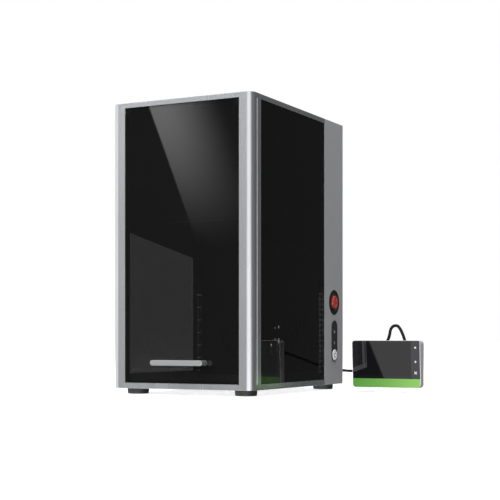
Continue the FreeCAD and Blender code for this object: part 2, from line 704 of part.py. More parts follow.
def make_cheek(side, sign):
    """Side wall of the cowl, whose lower edge falls towards the back."""
    body = new_body()
    face = f"{sign} * (cowl_half + cheek_thick)" if sign < 0 else "cowl_half"
    sketch = sketch_on(body, "YZ_Plane", (face, "0", "0"))
    outline(sketch, (("cheek_front", "foot_high + cheek_front_low"),
                     ("scale_front", "foot_high + scale_top"),
                     ("scale_rear", "foot_high + scale_top"),
                     ("scale_rear", FRAME_TOP),
                     ("cheek_front", FRAME_TOP)))
    pad(body, sketch, "cheek_thick")
    node(f"cowl_cheek_{side}", body)


def make_lamp():
    node("chamber_lamp", block(("-lamp_half", "lamp_front", f"{CEILING} - lamp_thick"),
                               ("lamp_half", "lamp_front + lamp_deep", CEILING)))


# ---------------------------------------------------------------- lifting head

def make_head_housing():
    low = ("-head_half", "head_front", HEAD_LOW)
    high = ("head_half", "head_rear", f"{HEAD_LOW} + head_high")
    body, solid = plate(low, high)
    soft = fillet(body, solid, "head_round",
                  lambda e: is_upright(e) and e.BoundBox.YMax < evaluate("head_front") + 1)
    fillet(body, soft, "edge_round",
           lambda e: spans(e)[2] < 0.01 and abs(e.BoundBox.ZMin - evaluate(HEAD_LOW)) < 0.01
           and e.BoundBox.YMin < evaluate("head_rear") - 1)
    hollow = sketch_on(body, "XY_Plane", ("0", "(head_front + head_rear) / 2", high[2]))
    rectangle(hollow, "2 * (head_half - head_wall)", "head_rear - head_front - 2 * head_wall")
    pocket(body, hollow, "head_high - head_wall")
    for x, y, radius in (("0", "lens_y", "lens_radius"), ("camera_x", "camera_y", "camera_nose")):
        hole = sketch_on(body, "XY_Plane", (x, y, HEAD_LOW))
        disc(hole, radius)
        through(body, hole)
    node("head_housing", body)


def make_lens():
    """Scan lens: a short nose through the housing's floor and a flange that rests on it."""
    start = ("0", "lens_y", f"{HEAD_LOW} - nose_low")
    barrel = turned("+z", start, (
        ("lens_radius - nose_chamfer", "lens_radius", "nose_chamfer"),
        ("lens_radius", "lens_radius", "head_wall + nose_low - nose_chamfer"),
        ("flange_radius", "flange_radius", "flange_thick")))
    dish = taper("+z", start, "lens_radius - dish_rim", "lens_radius - dish_floor", "dish_deep")
    node("lens_barrel", cut(barrel, dish))


def make_camera():
    x, y = "camera_x", "camera_y"
    base = f"{HEAD_LOW} + head_wall"
    solid = block((f"{x} - camera_half", f"{y} - camera_half", base),
                  (f"{x} + camera_half", f"{y} + camera_half", f"{base} + camera_high"))
    nose = rod("+z", (x, y, HEAD_LOW), "camera_nose", "head_wall")
    glass = taper("+z", (x, y, HEAD_LOW), "camera_eye", "camera_pupil", "camera_dish")
    node("camera_module", cut(fuse(solid, nose), glass))


def make_galvo():
    """Block that holds the two scanning mirrors over the lens, with their two motors."""
    low = f"{HEAD_LOW} + head_wall + flange_thick"
    beam = "foot_high + beam_low"
    roof = f"{beam} + galvo_roof"
    back = "galvo_rear - galvo_wall"
    solid = block(("galvo_x - galvo_left", "galvo_front", low), ("galvo_right", "galvo_rear", roof))
    hollow = block(("galvo_x - galvo_left + galvo_wall", "galvo_front + galvo_wall", low),
                   ("galvo_right - galvo_wall", back, f"{roof} - galvo_wall"))
    beam_hole = rod("+y", ("galvo_x", back, beam), "beam_bore", "galvo_wall")
    bore_x = rod("+z", ("galvo_x", "lens_y", f"{roof} - galvo_wall"), "shaft_bore", "galvo_wall")
    bore_y = rod("+y", ("0", back, beam), "shaft_bore", "galvo_wall")
    node("galvo_block", cut(solid, hollow, beam_hole, bore_x, bore_y))

    bodies = []
    for way, start in (("+z", ("galvo_x", "lens_y", roof)), ("+y", ("0", "galvo_rear", beam))):
        can = turned(way, start, (
            ("galvo_motor_radius", "galvo_motor_radius", "galvo_motor_long - galvo_motor_round"),
            ("galvo_motor_radius", "galvo_motor_radius - galvo_motor_round", "galvo_motor_round")))
        bearing = rod(way, start, "galvo_shaft + running_gap", "galvo_motor_long / 2")
        bodies.append(cut(can, bearing))
    node("galvo_motors", group(*bodies))

    shaft_x = rod("+z", ("galvo_x", "lens_y", f"{beam} + clip_high"), "galvo_shaft", "galvo_shaft_long")
    clip_x = tilted_mirror(("galvo_x", "lens_y", f"{beam} - mirror_drop"), "+z", "mirror_narrow")
    node("galvo_mirror_x", fuse(shaft_x, clip_x))
    shaft_y = rod("+y", ("0", "lens_y + clip_high", beam), "galvo_shaft", "galvo_shaft_long")
    clip_y = tilted_mirror(("0", "lens_y - mirror_drop", beam), "+y", "mirror_broad")
    node("galvo_mirror_y", fuse(shaft_y, clip_y))


def turned_box(kind, place, spin, corner, lengths):
    """A box of the given lengths, spun, with its first corner set off from a place."""
    item = doc.addObject("Part::Box", kind)
    bind(item, Length=lengths[0], Width=lengths[1], Height=lengths[2])
    item.Placement = Placement(Vector(), spin)
    offset = spin.multVec(corner)
    return locate(item, *[f"{text} + ({value:.6f})" for text, value in zip(place, offset)])


def tilted_mirror(start, way, wide):
    """A mirror blank standing on start along its shaft's direction and turned about it."""
    upright = Rotation(Vector(0, 0, 1), DIRECTIONS[way])
    spin = upright.multiply(Rotation(Vector(0, 0, 1), size("mirror_angle")))
    corner = Vector(-size(wide) / 2, -size("mirror_thick") / 2, 0)
    return turned_box("Mirror", start, spin, corner, (wide, "mirror_thick", "mirror_long"))


def make_laser_source():
    """Sealed laser source on the galvo block's beam axis, with cooling fins on its top."""
    beam = "foot_high + beam_low"
    low = f"{beam} + source_lift"
    top = f"{low} + source_high"
    front = "galvo_rear + source_gap"
    rear = "head_rear - source_end"
    base = block(("-source_half", front, low), ("source_half", rear, top))
    fins = []
    for index in range(int(size("fin_count"))):
        left = f"fin_inset - source_half + {index} * fin_pitch"
        fins.append(block((left, f"{front} + fin_inset", top),
                          (f"{left} + fin_wide", f"{rear} - fin_inset", f"{top} + fin_high")))
    snout = block(("galvo_x - snout_half", "galvo_rear", f"{beam} - snout_half"),
                  ("galvo_x + snout_half", "galvo_rear + snout_long", low))
    node("laser_source", fuse(base, snout, *fins))


def make_carriage():
    low = "foot_high + carriage_low"
    top = f"{low} + carriage_high"
    rear = "head_rear + carriage_thick"
    solids = [block(("-carriage_half", "head_rear", low), ("carriage_half", rear, top))]
    bores = []
    for sign in (-1, 1):
        ends = sorted((f"{sign} * arm_near", f"{sign} * carriage_half"), key=evaluate)
        solids.append(block((ends[0], rear, low), (ends[1], "arm_rear", top)))
        bores.append(rod("+z", (f"{sign} * rod_x", "rod_y", low), "bearing_radius", "carriage_high"))
    solids.append(block(("-nut_arm_half", rear, "foot_high + nut_low"),
                        ("nut_arm_half", "arm_rear", "foot_high + nut_low + nut_arm_high")))
    bores.append(rod("+z", ("0", "rod_y", "foot_high + nut_low"), "nut_radius", "nut_arm_high"))
    node("head_carriage", cut(fuse(*solids), *bores))


def make_bearings():
    rings = []
    for sign in (-1, 1):
        for lift in ("0", "carriage_high - bearing_long"):
            at = (f"{sign} * rod_x", "rod_y", f"foot_high + carriage_low + {lift}")
            rings.append(cut(rod("+z", at, "bearing_radius", "bearing_long"),
                             rod("+z", at, "rod_radius + running_gap", "bearing_long")))
    node("linear_bearings", group(*rings))


def make_lead_nut():
    at = ("0", "rod_y", "foot_high + nut_low")
    nut = turned("+z", at, (("nut_radius", "nut_radius", "nut_arm_high"),
                            ("nut_flange", "nut_flange", "nut_flange_thick")))
    bore = rod("+z", at, "screw_rod + running_gap", "nut_arm_high + nut_flange_thick")
    node("lead_nut", cut(nut, bore))


def make_lift():
    """Guide rods, lead screw and motor of the head's lift, on two brackets and a spine."""
    low = "foot_high + ceiling_low"
    top = "foot_high + bracket_top_low"
    rods = [rod("+z", (f"{sign} * rod_x", "rod_y", low), "rod_radius", f"{top} + bracket_thick - ({low})")
            for sign in (-1, 1)]
    node("guide_rods", group(*rods))

    brackets = []
    for z, middle in ((low, "motor_boss"), (top, "screw_rod + running_gap")):
        solid = block(("-bracket_half", "bracket_front", z),
                      ("bracket_half", "spine_front", f"{z} + bracket_thick"))
        holes = [rod("+z", (f"{sign} * rod_x", "rod_y", z), "rod_radius", "bracket_thick")
                 for sign in (-1, 1)]
        brackets.append(cut(solid, rod("+z", ("0", "rod_y", z), middle, "bracket_thick"), *holes))
    node("lift_brackets", group(*brackets))

    node("rear_spine", block(("-spine_half", "spine_front", "foot_high + spine_low"),
                             ("spine_half", "spine_front + spine_thick", f"{top} + bracket_thick")))

    can, solid = plate(("-motor_side / 2", "rod_y - motor_side / 2", f"{low} - motor_high"),
                       ("motor_side / 2", "rod_y + motor_side / 2", low))
    chamfer(can, solid, "motor_chamfer", is_upright)
    boss = sketch_on(can, "XY_Plane", ("0", "rod_y", low))
    disc(boss, "motor_boss")
    pad(can, boss, "boss_high")
    bore = sketch_on(can, "XY_Plane", ("0", "rod_y", f"{low} + boss_high"))
    disc(bore, "shaft_radius + running_gap")
    pocket(can, bore, "shaft_hole")
    node("lift_motor", can)

    start = ("0", "rod_y", f"{low} - shaft_bite")
    above = "bracket_top_low + bracket_thick - shaft_end - ceiling_low"
    screw = turned("+z", start, (
        ("shaft_radius", "shaft_radius", "shaft_long"),
        ("coupler_radius", "coupler_radius", "coupler_long"),
        ("screw_rod", "screw_rod", f"{above} + shaft_bite - shaft_long - coupler_long")))
    node("lead_screw", screw)


# ---------------------------------------------------------------- exhaust

def make_exhaust():
    front = "wall_front + wall_thick"
    rear = f"{front} + fan_thick"
    centre = "foot_high + fan_centre"
    body, solid = plate(("-fan_side / 2", front, f"{centre} - fan_side / 2"),
                        ("fan_side / 2", rear, f"{centre} + fan_side / 2"))
    fillet(body, solid, "fan_round",
           lambda e: spans(e)[1] > 10 and spans(e)[0] < 0.01 and spans(e)[2] < 0.01)
    bore = sketch_on(body, "XZ_Plane", ("0", front, centre))
    disc(bore, "fan_bore")
    pocket(body, bore, "fan_thick - fan_floor")
    for quarter in range(4):
        window = sketch_on(body, "XZ_Plane", ("0", front, centre))
        quarter_ring(window, quarter)
        pocket(body, window, "fan_thick")
    shaft = sketch_on(body, "XZ_Plane", ("0", rear, centre))
    disc(shaft, "galvo_shaft + running_gap")
    pocket(body, shaft, "shaft_well", reverse=True)
    node("exhaust_fan", body)

    hub = turned("+y", ("0", f"{front} + hub_start", centre), (
        ("hub_radius - hub_chamfer", "hub_radius", "hub_chamfer"),
        ("hub_radius", "hub_radius", "hub_long"),
        ("galvo_shaft", "galvo_shaft", "hub_shaft")))
    count = int(size("blade_count"))
    blades = [fan_blade(360 * index / count) for index in range(count)]
    node("exhaust_rotor", fuse(hub, *blades))

    flange, _ = plate(("-fan_side / 2", rear, f"{centre} - fan_side / 2"),
                      ("fan_side / 2", f"{rear} + collar_flange", f"{centre} + fan_side / 2"))
    tube = sketch_on(flange, "XZ_Plane", ("0", f"{rear} + collar_flange", centre))
    disc(tube, "collar_radius")
    pad(flange, tube, f"{PANEL_BACK} + collar_out - ({rear} + collar_flange)", reverse=True)
    ridge = sketch_on(flange, "XZ_Plane", ("0", PANEL_BACK, centre))
    disc(ridge, "collar_ridge")
    pad(flange, ridge, "collar_ridge_thick", reverse=True)
    hole = sketch_on(flange, "XZ_Plane", ("0", rear, centre))
    disc(hole, "collar_inner")
    through(flange, hole)
    node("duct_collar", flange)


def circle_of(radius):
    return Part.Circle(Vector(), Vector(0, 0, 1), radius)


def polar(radius, angle):
    return Vector(radius * math.cos(angle), radius * math.sin(angle), 0)


def quarter_ring(sketch, quarter):
    """One of four air windows between the fan's hub plate and its rim, a strut's width apart."""
    inner = size("hub_plate")
    outer = size("fan_bore")
    turn = quarter * math.pi / 2
    corners = []
    for radius in (inner, outer):
        lean = math.asin(size("strut_half") / radius)
        corners.append((turn + lean, turn + math.pi / 2 - lean, radius))
    (in_start, in_end, _), (out_start, out_end, _) = corners
    sketch.addGeometry(Part.ArcOfCircle(circle_of(outer), out_start, out_end))
    sketch.addGeometry(Part.LineSegment(polar(outer, out_end), polar(inner, in_end)))
    sketch.addGeometry(Part.ArcOfCircle(circle_of(inner), in_start, in_end))
    sketch.addGeometry(Part.LineSegment(polar(inner, in_start), polar(outer, out_start)))
    for first, end, second, start in ((0, 2, 1, 1), (1, 2, 2, 2), (2, 1, 3, 1), (3, 2, 0, 1)):
        sketch.addConstraint(constraint("Coincident", first, end, second, start))
    for index in (0, 2):
        sketch.addConstraint(constraint("Coincident", index, 3, -1, 1))
    dimension(sketch, "Radius", 0, text="fan_bore", value=outer)
    dimension(sketch, "Radius", 2, text="hub_plate", value=inner)
    straight = "Horizontal" if quarter % 2 else "Vertical"
    other = "Vertical" if quarter % 2 else "Horizontal"
    sketch.addConstraint(constraint(straight, 1))
    sketch.addConstraint(constraint(other, 3))


def fan_blade(angle):
    """A flat pitched blade from the hub nearly to the frame's bore."""
    pitch = Rotation(Vector(1, 0, 0), size("blade_pitch"))
    spin = Rotation(Vector(0, 1, 0), angle).multiply(pitch)
    root = Vector(size("hub_radius") - size("tip_gap"), -size("blade_wide") / 2, -size("blade_thick") / 2)
    centre = ("0", "wall_front + wall_thick + blade_middle", "foot_high + fan_centre")
    lengths = ("fan_bore - hub_radius - tip_gap", "blade_wide", "blade_thick")
    return turned_box("Blade", centre, spin, root, lengths)


# ---------------------------------------------------------------- electrics

# Parts on the control board: place along and up the board, then width, height and depth.
BOARD_PARTS = (
    (6, 12, 18, 26, 11), (30, 14, 16, 16, 9), (8, 60, 34, 34, 4),
    (6, 112, 12, 40, 12), (26, 118, 20, 20, 3), (8, 164, 36, 14, 10),
)
# The three blades of the mains inlet: their places about its middle.
INLET_BLADES = ((-7, -2), (7, -2), (0, 3))


def make_electrics():
    supply_low = "foot_high + skin + supply_lift"
    supply_front = "wall_front + wall_thick + supply_gap"
    node("power_supply", block(("supply_x", supply_front, supply_low),
                               ("supply_x + supply_wide", f"{supply_front} + supply_deep",
                                f"{supply_low} + supply_high")))

    board_low = "foot_high + skin + board_lift"
    board_front = "wall_front + wall_thick + board_gap"
    board = block(("board_x", board_front, board_low),
                  ("board_x + board_wide", f"{board_front} + board_thick", f"{board_low} + board_high"))
    back = f"{board_front} + board_thick"
    parts = [board]
    for x, z, wide, high, deep in BOARD_PARTS:
        parts.append(block((f"board_x + {x}", back, f"{board_low} + {z}"),
                           (f"board_x + {x + wide}", f"{back} + {deep}", f"{board_low} + {z + high}")))
    node("control_board", fuse(*parts))


def make_inlet():
    """Mains inlet with its pin recess on the left and the rocker's opening on the right."""
    x, z = "inlet_x", "foot_high + inlet_z"
    face = f"{PANEL_BACK} + flange_out"
    shell = upright_block(x, z, "inlet_half", "inlet_rise", f"{PANEL_BACK} - inlet_deep", PANEL_BACK)
    flange = upright_block(x, z, "flange_half", "flange_rise", PANEL_BACK, face)
    floor = f"{PANEL_BACK} - socket_deep"
    recess = upright_block(f"{x} + socket_x", z, "socket_half", "socket_rise", floor, face)
    opening = upright_block(f"{x} + opening_x", z, "opening_half", "opening_rise",
                            f"{PANEL_BACK} - opening_deep", face)
    blades = [upright_block(f"{x} + socket_x + ({across})", f"{z} + ({up})", "blade_half", "blade_rise",
                            floor, f"{PANEL_BACK} - blade_short") for across, up in INLET_BLADES]
    node("mains_inlet", fuse(cut(fuse(shell, flange), recess, opening), *blades))

    start = (f"{x} + opening_x - rocker_long / 2", f"{PANEL_BACK} - rocker_sink", z)
    barrel = rod("+x", start, "rocker_radius", "rocker_long")
    node("rocker_switch", cut(barrel, rocker_waste(0, 1), rocker_waste(2, -1)))


def upright_block(x, z, half, rise, front, back):
    """A block about a middle line along Y, from a front to a back."""
    return block((f"{x} - {half}", front, f"{z} - {rise}"), (f"{x} + {half}", back, f"{z} + {rise}"))


def rocker_waste(leans, side):
    """The waste in front of one half of the rocker's face, above or below its middle."""
    turn = Rotation(Vector(1, 0, 0), leans * size("rocker_lean"))
    drop = Vector(0, 0, min(0, side) * size("waste"))
    place = ("inlet_x + opening_x - waste / 2", f"{PANEL_BACK} + flange_out", "foot_high + inlet_z")
    return turned_box("Waste", place, turn, drop, ("waste", "waste", "waste"))


def make_gland():
    start = ("gland_x", f"{PANEL_BACK} - gland_root", "foot_high + gland_z")
    body = turned("+y", start, (
        ("gland_thread", "gland_thread", "gland_root"),
        ("gland_flange", "gland_flange", "gland_flange_thick"),
        ("gland_shoulder", "gland_neck", "gland_cone"),
        ("gland_neck", "gland_neck", "gland_lip")))
    depth = f"{PANEL_BACK} + gland_flange_thick + gland_cone + gland_lip - gland_bite"
    mouth = ("gland_x", depth, "foot_high + gland_z")
    node("cable_gland", cut(body, rod("+y", mouth, "cable_radius", "gland_bite")))


# ---------------------------------------------------------------- side controls

def make_stop_switch():
    """Black case set into the wall, a plunger in its bore and the mushroom button on the plunger."""
    y, z = "control_y", "foot_high + stop_z"
    case = turned("+x", (f"{SIDE} - stop_long", y, z), (
        ("stop_case - running_gap", "stop_case - running_gap", "stop_long"),
        ("stop_radius", "stop_radius", "stop_thick - stop_chamfer"),
        ("stop_radius", "stop_radius - stop_chamfer", "stop_chamfer")))
    well = rod("+x", (f"{SIDE} - stop_sink", y, z), "stop_well", "stop_sink + stop_thick")
    bore = rod("+x", (f"{SIDE} - stop_long", y, z), "stop_stem + running_gap", "stop_long")
    node("stop_bezel", cut(case, well, bore))

    stem = rod("+x", (f"{SIDE} - stop_long + stop_stem_inset", y, z), "stop_stem",
               "stop_long - stop_stem_inset + stop_under")
    under = (f"{SIDE} + stop_under", y, z)
    pivot = rod("+x", under, "stop_pivot", "stop_high / 2")
    node("stop_plunger", fuse(stem, pivot))

    button = turned("+x", under, (
        ("stop_button - stop_round", "stop_button", "stop_round"),
        ("stop_button", "stop_button", "stop_high - 2 * stop_round"),
        ("stop_button", "stop_button - stop_round", "stop_round")))
    socket = rod("+x", under, "stop_pivot + running_gap", "stop_high / 2 + stop_pivot_gap")
    node("stop_button", cut(button, socket))


def make_control_strip():
    body = new_body()
    shape = sketch_on(body, "YZ_Plane", (SIDE, "control_y", "foot_high + strip_z"))
    stadium(shape, "strip_long", "strip_wide", upright=True)
    solid = pad(body, shape, "strip_thick")
    face = evaluate(SIDE) + size("strip_thick")
    fillet(body, solid, "strip_round", lambda e: abs(e.BoundBox.XMin - face) < 0.01)
    hole = sketch_on(body, "YZ_Plane", (SIDE, "control_y", "foot_high + power_z"))
    disc(hole, "power_radius + power_clear")
    through(body, hole)
    node("control_strip", body)

    proud = turned("+x", (f"{SIDE} - power_root", "control_y", "foot_high + power_z"), (
        ("power_radius", "power_radius", "power_root + strip_thick + power_proud - power_chamfer"),
        ("power_radius", "power_radius - power_chamfer", "power_chamfer")))
    node("power_button", proud)


# ---------------------------------------------------------------- wired controller

def controller_block():
    """Wedge-shaped shell whose face leans forward, with round corners in its front view."""
    body = new_body()
    back = "controller_front + controller_top_deep"
    top = "controller_low + controller_high"
    shape = sketch_on(body, "YZ_Plane", (CONTROLLER_LEFT, "0", "0"))
    outline(shape, ((f"{back} - controller_foot_deep", "controller_low"), (back, "controller_low"),
                    (back, top), ("controller_front", top)))
    solid = pad(body, shape, "controller_wide")
    corners = fillet(body, solid, "controller_round",
                     lambda e: spans(e)[0] < 0.01 and spans(e)[2] < 0.01)
    rear = evaluate(back)
    fillet(body, corners, "controller_soft", lambda e: e.BoundBox.YMin > rear - 0.01)
    return body


def face_slab(low, high):
    """A thin slab on the leaning face, between two heights measured up the face."""
    lean = math.atan2(size("controller_top_deep") - size("controller_foot_deep"), size("controller_high"))
    turn = Rotation(Vector(1, 0, 0), math.degrees(lean))
    item = doc.addObject("Part::Box", "Slab")
    item.Placement = Placement(Vector(), turn)
    bind(item, Length="controller_wide - 2 * face_margin", Width="2 * face_thick",
         Height=f"({high}) - ({low})")
    up = turn.multVec(Vector(0, 0, 1))
    out = turn.multVec(Vector(0, -1, 0))
    foot = "controller_front + controller_top_deep - controller_foot_deep"
    return locate(item, f"{CONTROLLER_LEFT} + face_margin",
                  f"{foot} + ({low}) * ({up.y:.6f}) + face_thick * ({out.y:.6f})",
                  f"controller_low + ({low}) * ({up.z:.6f}) + face_thick * ({out.z:.6f})")


def make_controller():
    """Shell, green bar and glass; the bar and the glass fill the shallow inset in the shell's face."""
    rim = "controller_high - face_margin / 2"
    node("controller_shell", cut(controller_block(), face_slab("face_margin", rim)))
    node("controller_bar", common(controller_block(), face_slab("face_margin", "bar_high")))
    node("controller_glass", common(controller_block(), face_slab("bar_high", rim)))
    front = "controller_front + pad_front"
    pads = []
    for inset in ("pad_inset", "controller_wide - pad_inset - pad_long"):
        left = f"{CONTROLLER_LEFT} + {inset}"
        pads.append(block((left, front, "0"),
                          (f"{left} + pad_long", f"{front} + pad_deep", "controller_low")))
    node("controller_feet", group(*pads))


def make_plug():
    """Right-angle plug on the controller's back, with its cable leaving upwards."""
    back = "controller_front + controller_top_deep"
    top = "plug_low + plug_high"
    solid = block(("plug_x - plug_half", back, "plug_low"),
                  ("plug_x + plug_half", f"{back} + plug_deep", top))
    relief = turned("+z", ("plug_x", "plug_y", top), (
        ("relief_wide", "relief_slim", "relief_high"), ("relief_slim", "relief_slim", "relief_lip")))
    hole = rod("+z", ("plug_x", "plug_y", f"{top} + relief_lip"), "cable_radius", "relief_high")
    node("controller_plug", cut(fuse(solid, relief), hole))


# The cable's route: out of the gland, round the machine's rear corner, behind the
# controller, over its top edge in one loop and down into the plug.
CABLE_ROUTE = (
    (112, 412, 40), (112, 432, 40), (120, 452, 34.5), (150, 462, 34), (169, 443, 34),
    (177, 414, 38), (181, 384, 45), (189, 353, 53), (205, 329, 63), (229, 314, 73),
    (254, 307, 79), (270, 304.5, 89), (278, 302.5, 104), (280.5, 301.5, 119.5),
    (289.1, 300.5, 125.7), (299.4, 299, 122.9), (311.6, 297, 96.5), (313, 295, 77),
    (313, 295, 56),
)
BEND_SHARE = 0.45


def cable_path(points):
    """Straight runs joined by tangent arcs, each as large as its two runs allow."""
    edges = []
    here = points[0]
    for before, corner, after in zip(points, points[1:], points[2:]):
        arriving = (corner - before).normalize()
        leaving = (after - corner).normalize()
        turn = arriving.getAngle(leaving)
        shorter = min((corner - before).Length, (after - corner).Length)
        reach = BEND_SHARE * shorter
        radius = reach / math.tan(turn / 2)
        print(f"cable bend radius {radius:.1f} mm")
        start = corner - arriving * reach
        end = corner + leaving * reach
        inward = (leaving - arriving).normalize()
        middle = corner + inward * (radius / math.cos(turn / 2) - radius)
        edges.append(Part.LineSegment(here, start).toShape())
        edges.append(Part.Arc(start, middle, end).toShape())
        here = end
    edges.append(Part.LineSegment(here, points[-1]).toShape())
    return Part.Wire(edges)


def make_cable():
    points = [Vector(*point) for point in CABLE_ROUTE]
    path = cable_path(points)
    radius = size("cable_radius")
    ring = Part.Wire(Part.Circle(points[0], points[1] - points[0], radius).toShape())
    tube = path.makePipeShell([ring], True, False)
    expected = math.pi * radius ** 2 * path.Length
    print(f"cable length {path.Length:.1f} mm, volume {tube.Volume:.0f} of {expected:.0f} mm3")
    if abs(tube.Volume / expected - 1) > 0.01:
        raise RuntimeError("the cable's sweep is wrong")
    item = doc.addObject("Part::Feature", "Cable")
    item.Shape = tube
    node("controller_cable", item)


# ---------------------------------------------------------------- assembly

make_base_pan()
make_top_cover()
for name, direction in SIGNS:
    make_front_post(name, direction)
    make_side_window(name, direction)
    make_scale_strip(name, direction)
    make_cheek(name, direction)
make_rear_housing()
make_rear_panel()
make_panel_screws()
make_feet()
make_door()
make_door_handle()
make_deck()
make_bed()
make_chamber_wall()
make_cowl()
make_lamp()
make_head_housing()
make_lens()
make_camera()
make_galvo()
make_laser_source()
make_carriage()
make_bearings()
make_lead_nut()
make_lift()
make_exhaust()
make_electrics()
make_inlet()
make_gland()
make_stop_switch()
make_control_strip()
make_controller()
make_plug()
make_cable()
doc.recompute()

for item in doc.Objects:
    if "Invalid" in item.State or "Error" in item.State:
        raise RuntimeError(f"{item.Name} ({item.Label}) failed: {item.State}")
for name, item in nodes.items():
    if item.Shape.isNull() or not item.Shape.isValid() or not item.Shape.Solids:
        raise RuntimeError(f"{name} has no valid solid")

os.makedirs("parts", exist_ok=True)
for name, item in nodes.items():
    item.Shape.exportStep(f"parts/{name}.step")
    print(f"{name}: {item.Shape.Volume / 1000:.2f} cm3, {len(item.Shape.Solids)} solid(s)")
print(f"{len(nodes)} nodes written")
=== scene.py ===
import math
import bmesh
import bpy
from mathutils import Matrix, Vector


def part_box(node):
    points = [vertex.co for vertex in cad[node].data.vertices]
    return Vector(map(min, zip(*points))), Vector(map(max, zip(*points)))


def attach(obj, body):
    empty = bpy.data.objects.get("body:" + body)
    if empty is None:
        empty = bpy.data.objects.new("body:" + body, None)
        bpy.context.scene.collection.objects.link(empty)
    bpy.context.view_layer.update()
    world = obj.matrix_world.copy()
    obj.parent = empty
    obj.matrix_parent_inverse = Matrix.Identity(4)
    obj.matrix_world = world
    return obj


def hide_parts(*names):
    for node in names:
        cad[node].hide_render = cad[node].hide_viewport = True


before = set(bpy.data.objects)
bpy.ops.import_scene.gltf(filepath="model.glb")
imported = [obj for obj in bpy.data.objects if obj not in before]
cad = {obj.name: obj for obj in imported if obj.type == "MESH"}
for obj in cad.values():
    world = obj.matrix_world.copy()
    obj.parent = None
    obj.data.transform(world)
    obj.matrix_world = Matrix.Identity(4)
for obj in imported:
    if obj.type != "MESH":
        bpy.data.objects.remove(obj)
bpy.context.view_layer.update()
scene = bpy.context.scene
MM = 0.001

# ---------------------------------------------------------------- places taken from the frame


def node_box(name):
    low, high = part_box(name)
    return low, high, (low + high) / 2


def machine_box():
    """The machine's body, without its feet, collar and controller."""
    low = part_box("base_pan")[0]
    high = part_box("top_cover")[1]
    return low, high


BODY_LOW, BODY_HIGH = machine_box()
BODY_MIDDLE = (BODY_LOW + BODY_HIGH) / 2

# ---------------------------------------------------------------- camera

CAMERA_AT = Vector((1.0075, -2.1067, 0.1025))
CAMERA_TURN = math.radians(27.11)
CAMERA_LENS = 89.61
CAMERA_RISE = 0.1749


def make_camera():
    """A level camera whose frame is shifted up, so that uprights stay upright."""
    data = bpy.data.cameras.new("camera")
    data.sensor_width = 36
    data.lens = CAMERA_LENS
    data.shift_y = CAMERA_RISE
    data.dof.use_dof = False
    camera = bpy.data.objects.new("camera", data)
    camera.location = CAMERA_AT
    camera.rotation_euler = (math.pi / 2, 0, CAMERA_TURN)
    scene.collection.objects.link(camera)
    scene.camera = camera


# ---------------------------------------------------------------- shader building blocks


